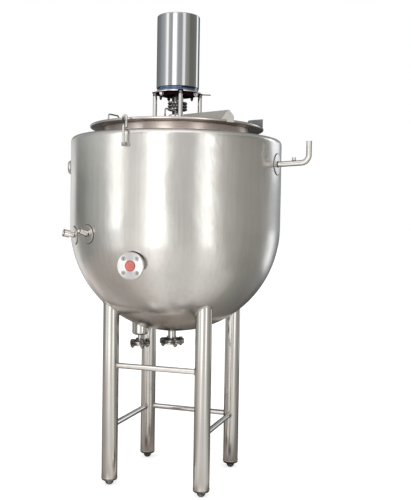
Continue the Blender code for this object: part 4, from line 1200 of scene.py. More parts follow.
class Drive(Assembly):
    """The stand on the lid, the geared motor under its cover, the coupling and the shaft seal."""

    size = DriveSize()

    def build(self) -> None:
        """Builds every piece of the drive."""
        self.posts()
        self.plate()
        self.motor()
        self.cover()
        self.coupling()
        self.seal()

    def posts(self) -> None:
        """Four round posts with a turned shoulder at the top end, a nut under the plate and a weld at the foot.
        """
        size = self.size
        low, high = self.vessel.lid_top, size.plate
        post = revolve([
            [0.0, low + CLEAR], [size.post, low + CLEAR], [size.post, high - size.shoulder - 0.0007],
            [size.post_neck, high - size.shoulder], [size.post_neck, high - CLEAR], [0.0, high - CLEAR],
        ], 40, closed=False)
        post += bead(circle(size.post + 0.001, low + 0.001, 60), 0.002, 0.004, UP)
        nut = M12.hexagon(M12.nut).placed(shift(0.0, 0.0, high - 0.0125))
        for name, quarter in (("front", -90), ("right", 0), ("back", 90), ("left", 180)):
            angle = math.radians(quarter + size.turn)
            place = shift(size.post_circle * math.cos(angle), size.post_circle * math.sin(angle), 0.0)
            packed = f"stand_post_{name}"
            self.dresser.piece(f"{packed}_turned", post.placed(place), POST, Slot.POLISHED, replaces=(packed,))
            self.dresser.piece(f"post_nut_{name}", nut.placed(place), DARK_BOLTS, Slot.POLISHED)

    def plate(self) -> None:
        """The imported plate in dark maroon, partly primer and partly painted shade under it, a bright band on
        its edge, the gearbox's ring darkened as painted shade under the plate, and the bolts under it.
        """
        size = self.size
        # The plate's dark maroon is partly paint and partly painted shade on its underside.
        self.dresser.node("motor_plate", PRIMER_AND_SHADE)
        radius, low, high = size.plate_radius, size.plate + 0.0004, size.plate + size.plate_thick - 0.0004
        inner, outer = radius - 0.002, radius + CLEAR
        band = revolve([[inner, low], [outer, low], [outer, high], [inner, high]], 128)
        self.dresser.piece("plate_edge_band", band, SHEET, Slot.POLISHED)
        inner, outer = size.gearbox_bore, size.gearbox
        high, low = size.plate - CLEAR, size.plate - size.gearbox_thick
        ring = [[inner, high], [outer, high], [outer, low + 0.0015], [outer - 0.0015, low], [inner, low]]
        # The gearbox's ring in dark maroon covers the plate's underside with painted shade.
        self.dresser.piece("gearbox_flange_shade", revolve(ring, 96), PRIMER_AND_SHADE, Slot.DARK)
        nut = M12.hexagon(M12.nut) + M12.washer() + M12.thread(M12.nut, M12.nut + 0.004)
        length = size.dark_length
        head = M8.hexagon(length) + M12.washer() + M8.thread(length, length + 0.005)
        for name, bolt, reach, azimuths, finish, slot in (
            ("bright", nut, size.bright_circle, size.bright_bolts, BRIGHT, Slot.POLISHED),
            ("dark", head, size.dark_circle, size.dark_bolts, OILY_AND_SHADE, Slot.DARK),
        ):
            hung = bolt.placed(turning("X", 180.0)).placed(shift(reach, 0.0, size.plate - 0.0012))
            bolts = joined([hung.placed(turning("Z", azimuth)) for azimuth in azimuths])
            self.dresser.piece(f"motor_bolts_{name}", bolts, finish, slot)

    def motor(self) -> None:
        """The motor's blue flange and body, most of it inside the cover, and black rods along the cover's lower
        edge that paint its shadow on the flange.
        """
        size = self.size
        low, high = size.plate + size.plate_thick + CLEAR, size.flange_top
        rim, groove = size.flange, size.flange - 0.0035
        section = [
            [size.bore, low], [rim - 0.002, low], [rim, low + 0.002], [rim, low + 0.0075],
            [groove, low + 0.009], [groove, low + 0.012], [rim, low + 0.0135], [rim, high - 0.002],
            [rim - 0.002, high], [size.body, high], [size.body, high + size.body_length],
            [0.0, high + size.body_length], [0.0, low + 0.017], [size.bore, low + 0.017],
        ]
        self.dresser.piece("gear_motor_body", revolve(section, 96), BLUE, Slot.BLUE, replaces=("gear_motor",))
        # Painted shadow: black rods under the cover's lower edge, where the cover shades the flange.
        shadow_arcs = []
        for start, end, drop in size.shadow_arcs:
            path = np.insert(arc((0.0, 0.0), rim - 0.001, start, end, 24), 2, high - drop, axis=1)
            shadow_arcs.append(rod(path, size.shadow_radius, 12, UP))
        self.dresser.piece("cover_shadow_rods", joined(shadow_arcs), COVER_SHADOW, Slot.DARK)

    def cover(self) -> None:
        """The drawn cover over the motor, with a rolled lower edge."""
        size = self.size
        low, top, wall = size.flange_top + CLEAR, size.cover_top, size.cover_wall
        inner, bend, lip = size.cover - wall, size.cover - size.cover_edge, size.flange - 0.004
        side = np.linspace([size.cover, low + 0.0008], [size.cover, top - size.cover_edge], 31)[:-1]
        edge = arc((bend, top - size.cover_edge), size.cover_edge, 0.0, 90.0, 8)
        lid = np.linspace([bend, top], [0.0, top], 12)[1:]
        inside = [
            [0.0, top - wall], [inner, top - wall], [inner, low + wall], [lip, low + wall], [lip, low],
            [size.cover - 0.0008, low],
        ]
        skin = revolve(np.concatenate([side, edge, lid, inside]), 128)
        self.dresser.piece("motor_cover_drawn", skin, MIRROR, Slot.POLISHED, replaces=("motor_cover",))

    def coupling(self) -> None:
        """The dark coupling halves wrapped in a double chain, whose bright plates stand in three rows."""
        size = self.size
        low, hub, neck, radius = size.coupling_low, size.coupling_hub, size.coupling_neck, size.coupling
        chain = low + 0.015
        upper = chain + 0.020
        top, stub = upper + 0.018, size.plate - 0.005
        pin, pin_top = size.coupling_pin, size.plate + 0.021
        section = [
            [0.0, low], [hub, low], [hub, chain], [radius - 0.001, chain], [radius, chain + 0.001],
            [radius, chain + 0.017], [radius - 0.004, chain + 0.018], [radius - 0.004, upper],
            [radius, upper + 0.001], [radius, top - 0.001], [radius - 0.001, top], [neck, top], [neck, stub],
            [pin, stub], [pin, pin_top], [0.0, pin_top],
        ]
        halves = revolve(section, 96, closed=False)
        self.dresser.piece("coupling_halves", halves, OILY_AND_SHADE, Slot.DARK, Body.AGITATOR, ("shaft_coupling",))
        upright = turning("Y", 90.0) @ turning("Z", 90.0)
        flat, tip, half = size.link
        outline = np.array([[-flat, -half], [flat, -half], [tip, 0.0], [flat, half], [-flat, half], [-tip, 0.0]])
        link = plate(outline, 0.0, 0.0022, 0.0004).placed(upright)
        for number, gap in enumerate(size.chain_gaps):
            row = link.placed(shift(radius + 0.0008, 0.0, chain + gap))
            row = row.around(size.links, 6.0 + 9.0 * (number % 2))
            self.dresser.piece(f"chain_row_{number}", row, CHAIN, Slot.DARK, Body.AGITATOR)
        bolts = M8.hexagon(M8.head).placed(shift(size.coupling_circle, 0.0, top)).around(4, 10.0)
        self.dresser.piece("coupling_bolts", bolts, BOLTS, Slot.DARK, Body.AGITATOR)
        wide, tall = size.key
        outline = np.array([[-wide, -tall], [wide, -tall], [wide, tall], [-wide, tall]])
        key = plate(outline, 0.0, 0.002, 0.0004).placed(upright).placed(shift(neck - 0.0006, 0.0, top + 0.015))
        self.dresser.piece("coupling_keys", key.around(size.keys, 20.0), CHAIN, Slot.DARK, Body.AGITATOR)

    def seal(self) -> None:
        """The seal housing on the lid, its gland ring and its nuts."""
        size = self.size
        low, high, bore = self.vessel.lid_top + CLEAR, size.seal_top, size.shaft + 0.001
        base, body, foot = size.seal_base, size.seal, size.seal_foot
        section = [
            [bore, low], [base - 0.001, low], [base, low + 0.001], [base, low + foot - 0.0012],
            [base - 0.0012, low + foot], [body + 0.003, low + foot], [body, low + 0.013], [body, low + 0.040],
            [body - 0.0015, low + 0.0415], [body - 0.0015, low + 0.0435], [body, low + 0.045],
            [body, high - 0.004], [body - 0.004, high], [bore, high],
        ]
        housing = revolve(section, 96)
        self.dresser.piece("seal_housing", housing, TURNED, Slot.POLISHED, replaces=("shaft_seal_housing",))
        nut = M8.hexagon(M8.nut) + M8.thread(M8.nut, M8.nut + 0.003)
        nuts = nut.placed(shift(body + 0.006, 0.0, low + foot)).around(6, 15.0)
        self.dresser.piece("seal_nuts", nuts, OILY_AND_SHADE, Slot.DARK)


# The stand


@dataclass(frozen=True)
class StandSize:
    """Sizes of the legs, the feet and the braces, and which legs each brace joins."""

    leg: float = 0.037
    wall: float = 0.003
    circle: float = 0.321
    turn: float = 24.1
    bottom: float = 0.035
    ball: float = 0.020
    flat: float = 0.008
    plug_depth: float = 0.0115
    plug_edge: float = 0.006
    ball_neck: float = 0.0165
    brace: float = 0.0125
    high: float = 0.561
    low: float = 0.272
    legs: tuple[tuple[str, float], ...] = (
        ("back_right", 0.0), ("back_left", 90.0), ("front_left", 180.0), ("front_right", 270.0),
    )

    def places(self) -> dict[str, np.ndarray]:
        """Where each leg's axis meets the floor.

        Returns:
            The places by the legs' names.
        """
        spots = {}
        for name, angle in self.legs:
            turn = math.radians(angle + self.turn)
            spots[name] = np.array([math.cos(turn), math.sin(turn), 0.0]) * self.circle
        return spots


class Stand(Assembly):
    """Four tube legs welded to the round bottom, their ball feet and the braces between them."""

    size = StandSize()

    def build(self) -> None:
        """Builds the legs, the feet and the braces."""
        places, low, high = self.size.places(), self.size.low, self.size.high
        for name, place in places.items():
            self.leg(name, place)
            self.foot(name, place)
        for name, first, second, height in (
            ("front", "front_left", "front_right", high),
            ("left", "front_left", "back_left", low),
            ("back", "back_left", "back_right", low),
            ("right", "front_right", "back_right", low),
        ):
            self.brace(name, places[first] + UP * height, places[second] + UP * height)

    def under_jacket(self, place: np.ndarray, radius: float, count: int, gap: float) -> np.ndarray:
        """Points round a leg's axis on the round bottom.

        Args:
            place: Where the axis meets the floor.
            radius: Radius of the circle as seen from above.
            count: How many points there are.
            gap: How far they lie below the sphere.

        Returns:
            Array of points by 3.
        """
        points = circle(radius, 0.0, count) + place
        points[:, 2] = self.vessel.sphere_height(np.linalg.norm(points[:, :2], axis=1)) - gap
        return points

    def leg(self, name: str, place: np.ndarray) -> None:
        """A tube cut to the sphere z = E - sqrt(R^2 - x^2 - y^2) at its top, and the weld along the cut.

        Args:
            name: The leg's name.
            place: Where its axis meets the floor.
        """
        size = self.size
        foot = size.bottom + CLEAR
        share = np.linspace(0.0, 1.0, 30)[:, None, None]
        walls = []
        for radius in (size.leg, size.leg - size.wall):
            top = self.under_jacket(place, radius, 64, CLEAR)
            rows = np.repeat(top[None], 30, axis=0)
            rows[..., 2:] = foot + share * (top[:, 2:] - foot)
            walls.append(rows)
        tube = grid(np.concatenate([walls[0], walls[1][::-1]]), wrap_rows=True)
        self.dresser.piece(f"leg_{name}_tube", tube, TUBE, Slot.SATIN, replaces=(f"leg_{name}",))
        weld = bead(self.under_jacket(place, size.leg + 0.0012, 160, 0.0010), 0.0034, 0.007)
        self.dresser.piece(f"leg_weld_{name}", weld, WELD, Slot.SATIN)

    def foot(self, name: str, place: np.ndarray) -> None:
        """A plug in the tube's end with a ball under it.

        Args:
            name: The leg's name.
            place: Where its axis meets the floor.
        """
        size = self.size
        low = math.degrees(math.asin(size.flat / size.ball))
        ball = arc((0.0, size.ball * math.cos(math.radians(low))), size.ball, -90.0 + low, 14.0, 16)
        plug, round_in = size.bottom - size.plug_depth, size.plug_edge
        edge = arc((size.leg - round_in, plug + round_in), round_in, -90.0, 0.0, 8)
        tail = [[size.leg, size.bottom], [0.0, size.bottom]]
        section = np.concatenate([[[0.0, 0.0]], ball, [[size.ball_neck, plug]], edge, tail])
        skin = revolve(section, 56, closed=False).placed(shift(*place))
        self.dresser.piece(f"foot_{name}_ball", skin, FOOT, Slot.SATIN, replaces=(f"foot_{name}",))
        weld = bead(circle(size.leg - 0.0004, size.bottom, 120), 0.0016, 0.005).placed(shift(*place))
        self.dresser.piece(f"foot_weld_{name}", weld, WELD, Slot.SATIN)

    def brace(self, name: str, start: np.ndarray, end: np.ndarray) -> None:
        """A rod between two legs, with a weld at each end.

        Its ends follow the tubes: at the level offset y from the rod's middle, an end stands at
        s = sqrt(L^2 - y^2) from its leg's axis, with L the leg's radius.

        Args:
            name: The brace's name.
            start: Where the rod's line crosses the first leg's axis.
            end: Where it crosses the second leg's axis.
        """
        size = self.size
        length = float(np.linalg.norm(end - start))
        along = (end - start) / length
        side = np.cross(UP, along)

        def section(radius: float, count: int) -> tuple[np.ndarray, np.ndarray]:
            """A ring's offsets from the rod's middle, and how far the leg's tube reaches at each of them."""
            angle = round_angles(count)[:, None]
            y = radius * np.cos(angle)
            return y * side + radius * np.sin(angle) * UP, np.sqrt(size.leg**2 - y**2)

        ring, reach = section(size.brace, 40)
        share = np.linspace(0.0, 1.0, 24)[:, None, None]
        points = start + (reach + share * (length - 2 * reach)) * along + ring
        self.dresser.piece(f"brace_{name}_rod", grid(points), BRACE, Slot.SATIN, replaces=(f"brace_{name}",))
        ring, reach = section(size.brace + 0.001, 72)
        welds = [
            bead(origin + (reach + 0.001) * way + ring, 0.0022, 0.005, along)
            for origin, way in ((start, along), (end, -along))
        ]
        self.dresser.piece(f"brace_weld_{name}", joined(welds), WELD, Slot.SATIN)


# The fittings


@dataclass(frozen=True)
class FlangePair:
    """Two blank flanges bolted together under a pipe: radius, faces, pipe, bolt circle and bolt."""

    radius: float
    low: float
    high: float
    pipe: float
    circle: float
    bolt: Bolt
    count: int
    start: float

    def skin(self) -> Skin:
        """Both flanges and the gasket's gap between them.

        Returns:
            The skin.
        """
        low, high, radius, middle = self.low, self.high, self.radius, (self.low + self.high) / 2
        groove, lip, chamfer = radius - 0.006, radius - 0.001, radius - 0.0015
        return revolve([
            [0.0, low], [chamfer, low], [radius, low + 0.0015], [radius, middle - 0.0016],
            [lip, middle - 0.0008], [groove, middle - 0.0008], [groove, middle + 0.0008], [lip, middle + 0.0008],
            [radius, middle + 0.0016], [radius, high - 0.0015], [chamfer, high], [self.pipe, high],
            [self.pipe, middle + 0.001], [0.0, middle + 0.001],
        ], 96, closed=False)

    def bolts(self) -> Skin:
        """The ring of bolts, heads up."""
        one = self.bolt.through(self.high - self.low, 0.004)
        return one.placed(shift(self.circle, 0.0, self.high)).around(self.count, self.start)


@dataclass(frozen=True)
class Socket:
    """A threaded socket on the jacket.

    Fields: azimuth, height, upward tilt, length, bore radius, steps of (radius, place) outside, how far the root
    is sunk in, and how far in the thread reaches, its pitch and how deep it is cut.
    """

    azimuth: float
    height: float
    tilt: float
    length: float
    bore: float
    steps: tuple[tuple[float, float], ...]
    sink: float = 0.010
    thread_depth: float = 0.016
    thread_pitch: float = 0.0014
    thread_cut: float = 0.0005

    def skin(self) -> Skin:
        """The turned body with a bevelled mouth, and its bore with the thread.

        Returns:
            The skin.
        """
        length, bore, mouth = self.length, self.bore, self.steps[-1][0]
        outside = [[0.0, -self.sink], [self.steps[0][0], -self.sink], *self.steps[:-1]]
        lip = [
            [mouth, length - 0.001], [mouth - 0.001, length], [bore + 0.0008, length], [bore, length - 0.0008],
        ]
        depth = np.linspace(0.001, self.thread_depth, 61)
        radii = bore - self.thread_cut * (0.5 - 0.5 * np.cos(TAU * depth / self.thread_pitch))
        thread = np.stack([radii, length - depth], axis=-1)
        end = [[0.0, length - self.thread_depth]]
        return revolve(np.concatenate([outside, lip, thread, end]), 48, closed=False)

    def mouth(self) -> Skin:
        """The dark rim of the mouth, and a dark disc at the bottom of the bore that is painted shade.

        Returns:
            The skin.
        """
        radius, length, inner = self.steps[-1][0], self.length, self.bore - 0.0006
        low, high = length - 0.0155, length - 0.0150
        lip = band(radius - 0.0012, radius + CLEAR, length - 0.0016, length + 0.0002, 48)
        return lip + revolve([[0.0, high], [inner, high], [inner, low], [0.0, low]], 32, closed=False)


@dataclass(frozen=True)
class FittingSize:
    """Places of the fittings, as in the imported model."""

    nozzle_azimuth: float = -111.6
    nozzle_aim: float = -106.0
    nozzle_height: float = 1.043
    nozzle_face: float = 0.512
    nozzle_radius: float = 0.0575
    nozzle_low: float = -0.0155
    nozzle_high: float = -0.0015
    nozzle_circle: float = 0.0425
    hole: float = 0.0075
    hole_cut: float = 0.0011
    hole_low: float = -0.0158
    hole_high: float = -0.0005
    stud: float = 0.0068
    stud_low: float = -0.0100
    stud_high: float = -0.0062
    plug: float = 0.0206
    drain_x: float = -0.163
    drain_y: float = -0.030
    pot: float = 0.038
    pot_bottom: float = 0.691
    pot_corner: float = 0.012
    stem: float = 0.0105
    stem_fillet: float = 0.004
    outlet_bore: float = 0.017
    outlet: FlangePair = FlangePair(0.059, 0.646, 0.667, 0.017, 0.045, M10, 4, 20.0)
    drain: FlangePair = FlangePair(0.0475, 0.641, 0.661, 0.0, 0.0365, M10, 4, 20.0)
    pad: float = 0.040
    pad_thick: float = 0.004
    left: Socket = Socket(
        -156.5, 1.163, 12.0, 0.053, 0.011, ((0.0105, 0.023), (0.0165, 0.025), (0.0165, 0.053))
    )
    front: Socket = Socket(-140.5, 1.171, 17.0, 0.0475, 0.0075, ((0.012, 0.0475),))
    vent_azimuth: float = -23.6
    vent_height: float = 1.500
    vent_pad: float = 0.0475
    vent: float = 0.0125
    vent_bore: float = 0.0105
    vent_sink: float = 0.008
    vent_out: float = 0.647
    vent_top: float = 1.603
    vent_bend: float = 0.036
    vent_rise: float = 0.05
    stub_out: float = 0.578
    stub: float = 0.0085
    stub_top: float = 1.5305
    union_azimuth: float = 176.0
    union_height: float = 1.485
    union_pad: float = 0.030
    union_hole: float = 0.010


class Fittings(Assembly):
    """The front nozzle, the probe sockets, the vent, the union, the outlet and the drain."""

    size = FittingSize()

    def build(self) -> None:
        """Builds every fitting."""
        self.nozzle()
        self.socket("left", self.size.left)
        self.socket("front", self.size.front)
        self.vent()
        self.union()
        self.outlet()
        self.drain()

    def on_jacket(
        self,
        azimuth: float,
        height: float,
        reach: np.ndarray | float,
        angle: np.ndarray,
        offset: np.ndarray | float,
    ) -> np.ndarray:
        """Places on the jacket round a centre, lifted off its skin.

        At the distance d and the angle a from the centre, the height is h = H + d sin a, the azimuth grows by
        d cos a / r with r the jacket's radius there, and the lift follows the jacket's slope.

        Args:
            azimuth: Azimuth of the centre in degrees.
            height: Height H of the centre.
            reach: Distances d.
            angle: Angles a in radians.
            offset: The lifts.

        Returns:
            Array of places by 3.
        """
        size = self.vessel
        level = height + reach * np.sin(angle)
        drop = np.maximum(size.equator - level, 0.0)
        out = np.sqrt(size.radius**2 - drop**2)
        turn = math.radians(azimuth) + reach * np.cos(angle) / out
        slope = np.arcsin(drop / size.radius)
        wide = out + offset * np.cos(slope)
        return np.stack([wide * np.cos(turn), wide * np.sin(turn), level - offset * np.sin(slope)], axis=-1)

    def pad(self, azimuth: float, height: float, radius: float, hole: float) -> Skin:
        """A thin round pad laid on the jacket, its edge rounded over.

        Args:
            azimuth: Azimuth of its centre in degrees.
            height: Height of its centre.
            radius: Its radius.
            hole: Radius of the hole under the fitting's root.

        Returns:
            The skin.
        """
        thick, sink = self.size.pad_thick, -0.0015
        edge = [
            (radius, sink), (radius, thick * 0.55), (radius - 0.0006, thick * 0.86), (radius - 0.0018, thick),
        ]
        face = [(reach, thick) for reach in np.linspace(radius - 0.004, hole, 8)]
        reach, lift = np.array([*edge, *face, (hole, sink)]).T[..., None]
        return grid(self.on_jacket(azimuth, height, reach, round_angles(72), lift), wrap_rows=True)

    def seam(self, azimuth: float, height: float, radius: float, thick: float = 0.0015) -> Skin:
        """The dark line of weld round a pad.

        Args:
            azimuth: Azimuth of the pad's centre in degrees.
            height: Height of the pad's centre.
            radius: The pad's radius.
            thick: Radius of the bead.

        Returns:
            The skin.
        """
        path = self.on_jacket(azimuth, height, radius + thick * 0.6, round_angles(220), 0.0004)
        turn = math.radians(azimuth)
        return bead(path, thick, 0.005, np.array([math.cos(turn), math.sin(turn), 0.0]))

    def nozzle(self) -> None:
        """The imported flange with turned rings, what is in its four holes, its ribbed side and the red plug."""
        size = self.size
        place = aimed(size.nozzle_azimuth, size.nozzle_height, size.nozzle_face, size.nozzle_aim)
        self.dresser.node("front_nozzle", TURNED, TURNED.material(place, "_nozzle"))
        low, high, outer = size.hole_low, size.hole_high, size.hole + 0.001
        radius = size.hole - size.hole_cut * (0.5 + 0.5 * np.cos(TAU * np.linspace(0.0, 10.0, 81)))
        thread = np.stack([radius, np.linspace(low, high, 81)], axis=-1)
        threads = revolve(np.concatenate([thread, [[outer, high], [outer, low]]]), 24)
        bottom, top, radius = size.stud_low, size.stud_high, size.stud
        stud = [[0.0, top], [radius - 0.0006, top], [radius, top - 0.0006], [radius, bottom], [0.0, bottom]]
        for name, skin, finish in (
            ("threads", threads, BOLTS),
            ("studs", revolve(stud, 24, closed=False), WORN_AND_SHADED),
            # Dark rings round the holes: painted shade at the holes' edges.
            ("hole_shade_rings", band(size.hole - 0.0001, size.hole + 0.0025, -0.0008, 0.0001, 32), WORN_AND_SHADED),
        ):
            four = skin.placed(shift(size.nozzle_circle, 0.0, 0.0)).around(4, 45.0)
            self.dresser.piece(f"nozzle_{name}", four.placed(place), finish, Slot.POLISHED)
        low, high, inner = size.nozzle_low, size.nozzle_high, size.nozzle_radius - 0.0015
        side = np.linspace([size.nozzle_radius, low], [size.nozzle_radius, high], 12)
        side[1::2, 0] += 0.0002
        hoop = revolve(np.concatenate([side, [[inner, high], [inner, low]]]), 128)
        plug = size.plug
        # A dark ring round the plug's foot: painted shade where the plug meets the flange.
        groove = band(plug - 0.0013, plug + 0.0024, -0.001, 0.0006, 64)
        self.dresser.piece("nozzle_plug_shade_ring", groove.placed(place), PLUG_ROOT_SHADE, Slot.RED)
        self.dresser.piece("nozzle_side", hoop.placed(place), BRIGHT, Slot.POLISHED)
        cap = revolve([
            [0.0, -0.0115], [plug, -0.0115], [plug, 0.0010], [plug - 0.0010, 0.0022], [plug - 0.002, 0.003],
            [plug - 0.006, 0.003], [plug - 0.0075, 0.0022], [0.0, 0.0020],
        ], 72, closed=False)
        self.dresser.piece("nozzle_plug", cap.placed(place), CORAL, Slot.RED, replaces=("front_nozzle_plug",))

    def socket(self, name: str, socket: Socket) -> None:
        """A probe socket with its pad, the weld at its root and the dark line round the pad.

        Args:
            name: Which socket it is.
            socket: Its sizes.
        """
        size = self.size
        root, azimuth, height = socket.steps[0][0], socket.azimuth, socket.height
        place = radial(azimuth, height, self.vessel.wall_radius(height), socket.tilt)
        body = socket.skin().placed(place)
        self.dresser.piece(f"socket_{name}", body, FORGED, Slot.POLISHED, replaces=(f"probe_socket_{name}",))
        pad = self.pad(azimuth, height, size.pad, root * 0.6)
        self.dresser.piece(f"socket_{name}_pad", pad, JACKET, Slot.SATIN)
        # The mouth's dark disc at the bottom of the bore is painted shade.
        self.dresser.piece(f"socket_{name}_mouth", socket.mouth().placed(place), OILY_AND_SHADE, Slot.POLISHED)
        ring = bead(circle(root + 0.0006, size.pad_thick + 0.001, 80), 0.0014, 0.004).placed(place)
        seams = ring + self.seam(azimuth, height, size.pad, 0.0017)
        self.dresser.piece(f"socket_{name}_seams", seams, SEAM, Slot.POLISHED)

    def vent(self) -> None:
        """The bent vent pipe, which climbs a little on its way out, with its stub and its pad."""
        size = self.size
        azimuth, height, rise, bend, root = (
            size.vent_azimuth, size.vent_height, size.vent_rise, size.vent_bend, self.vessel.radius
        )
        out = np.array([math.cos(math.radians(azimuth)), math.sin(math.radians(azimuth)), 0.0])
        bend_out = size.vent_out - bend
        centre = (bend_out, height + rise * (bend_out - root) + bend)
        elbow = arc(centre, bend, -90.0 + math.degrees(math.atan(rise)), 0.0, 20)
        start = [[root - size.vent_sink, height - rise * size.vent_sink]]
        route = np.concatenate([start, elbow, [[size.vent_out, size.vent_top]]])
        pipe = rod(route[:, :1] * out + route[:, 1:] * UP, size.vent, 40, np.cross(UP, out), size.vent_bore)
        low, high = height + rise * (size.stub_out - root) + size.vent - 0.0012, size.stub_top
        stub = revolve([
            [0.0, low], [size.stub, low], [size.stub, high - 0.001], [size.stub - 0.001, high],
            [size.stub - 0.0025, high], [size.stub - 0.0028, high - 0.006], [0.0, high - 0.006],
        ], 36, closed=False)
        on_stub = shift(*(out * size.stub_out))
        skin = pipe + stub.placed(on_stub)
        self.dresser.piece("vent_bent_pipe", skin, POLISHED, Slot.POLISHED, replaces=("vent_pipe",))
        pad = self.pad(azimuth, height, size.vent_pad, size.vent * 0.8)
        self.dresser.piece("vent_pad", pad, JACKET, Slot.SATIN)
        ring = bead(circle(size.vent + 0.0008, size.pad_thick + 0.001, 90), 0.0016, 0.004)
        foot = bead(circle(size.stub + 0.0006, low + 0.0014, 60), 0.0011, 0.003)
        line = self.seam(azimuth, height, size.vent_pad, 0.0019)
        seams = ring.placed(radial(azimuth, height, root)) + foot.placed(on_stub) + line
        self.dresser.piece("vent_seams", seams, SEAM, Slot.POLISHED)

    def union(self) -> None:
        """The low chamfered union at the left, with its plug sunk a little into it."""
        size = self.size
        azimuth, height = size.union_azimuth, size.union_height
        body = revolve([
            [0.0, -0.008], [0.017, -0.008], [0.017, 0.0055], [0.0335, 0.006], [0.0345, 0.007], [0.0345, 0.010],
            [0.0275, 0.020], [0.018, 0.020], [0.0175, 0.0185], [0.0, 0.0185],
        ], 64, closed=False)
        skin = body.placed(radial(azimuth, height, self.vessel.radius))
        self.dresser.piece("side_union_turned", skin, BOLTS, Slot.POLISHED, replaces=("side_union",))
        pad = self.pad(azimuth, height, size.union_pad, size.union_hole)
        self.dresser.piece("union_pad", pad, JACKET, Slot.SATIN)
        self.dresser.piece("union_seam", self.seam(azimuth, height, size.union_pad), SEAM, Slot.POLISHED)

    def flanges(self, name: str, pair: FlangePair, place: np.ndarray) -> None:
        """A flange pair and its bolts."""
        skin = pair.skin().placed(place)
        self.dresser.piece(f"{name}_flanges", skin, RIMS, Slot.POLISHED, replaces=(f"{name}_flange_pair",))
        self.dresser.piece(f"{name}_bolts", pair.bolts().placed(place), DARK_BOLTS, Slot.POLISHED)

    def outlet(self) -> None:
        """The pan's outlet pipe with its blanked flange pair."""
        pair, vessel = self.size.outlet, self.vessel
        place = shift(vessel.outlet_x, 0.0, 0.0)
        top = vessel.pan_centre - math.sqrt((vessel.neck - vessel.pan_wall) ** 2 - vessel.outlet**2)
        pipe = band(self.size.outlet_bore, vessel.outlet, pair.high + CLEAR, top, 64).placed(place)
        self.dresser.piece("outlet_tube", pipe, POST, Slot.POLISHED, replaces=("outlet_pipe",))
        self.flanges("outlet", pair, place)
        ring = bead(circle(vessel.outlet + 0.0008, pair.high + 0.0006, 90), 0.0018, 0.005)
        reach = vessel.outlet + 0.0012
        high = bead(circle(reach, vessel.sphere_height(reach) - 0.0006, 90), 0.0024, 0.005)
        self.dresser.piece("outlet_welds", (ring + high).placed(place), SEAM, Slot.POLISHED)

    def drain(self) -> None:
        """The drain pot, whose upper edge follows the jacket's bottom, its stem and its flange pair."""
        size = self.size
        pair, corner, fillet = size.drain, size.pot_corner, size.stem_fillet
        place = shift(size.drain_x, size.drain_y, 0.0)

        def under_jacket(points: np.ndarray, gap: float) -> np.ndarray:
            """The points moved up to a gap below the jacket."""
            away = np.hypot(points[:, 0] + size.drain_x, points[:, 1] + size.drain_y)
            return np.column_stack([points[:, :2], self.vessel.sphere_height(away) - gap])

        low = lathe(np.concatenate([
            [[0.0, pair.high + CLEAR], [size.stem, pair.high + CLEAR]],
            arc((size.stem + fillet, size.pot_bottom - fillet), fillet, 180.0, 90.0, 5),
            arc((size.pot - corner, size.pot_bottom + corner), corner, -90.0, 0.0, 10),
        ]), 72)
        rim = under_jacket(low[-1], CLEAR)
        middle = np.zeros_like(rim) + UP * rim[:, 2].mean()
        pot = grid(np.concatenate([low, [rim, rim * [0.98, 0.98, 1.0], middle]])).placed(place)
        self.dresser.piece("drain_pot_drawn", pot, POLISHED, Slot.POLISHED, replaces=("drain_pot",))
        self.flanges("drain", pair, place)
        line = bead(under_jacket(circle(size.pot + 0.001, 0.0, 140), 0.001), 0.0026, 0.006)
        ring = bead(circle(size.stem + 0.001, pair.high + 0.0006, 60), 0.0015, 0.004)
        self.dresser.piece("drain_welds", (line + ring).placed(place), WELD, Slot.POLISHED)


class Agitator(Assembly):
    """The shaft and the anchor blade inside the pan."""

    def build(self) -> None:
        """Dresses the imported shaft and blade."""
        self.dresser.node("agitator_shaft", TUBE)
        self.dresser.node("anchor_blade", SHEET)


# The studio


class Tint(Enum):
    """Hues of the surroundings."""

    WHITE = (1.0, 1.0, 1.0)
    BEIGE = (1.0, 0.975, 0.965)
    GREEN = (0.985, 1.005, 0.975)
    OLIVE = (1.0, 0.99, 0.93)
    COOL = (0.97, 0.99, 1.04)
    SLATE = (0.91, 0.99, 1.09)
    EARTH = (1.0, 0.93, 0.885)
    SOIL = (1.0, 0.86, 0.77)


WHITE, BEIGE, GREEN, OLIVE, COOL, SLATE, EARTH, SOIL = Tint


@dataclass(frozen=True)
class Mark:
    """The light in one direction: degrees from the front towards the right, its strength and its hue."""

    angle: float
    light: float
    tint: Tint

    def colour(self) -> tuple[float, ...]:
        """The light as a colour."""
        return tuple(self.light * part for part in self.tint.value)


Ring = tuple[Mark, ...]


def marks(*rows: tuple[float, float, Tint]) -> Ring:
    """One ring of lights, from behind round by the left, the front and the right."""
    return tuple(Mark(*row) for row in rows)


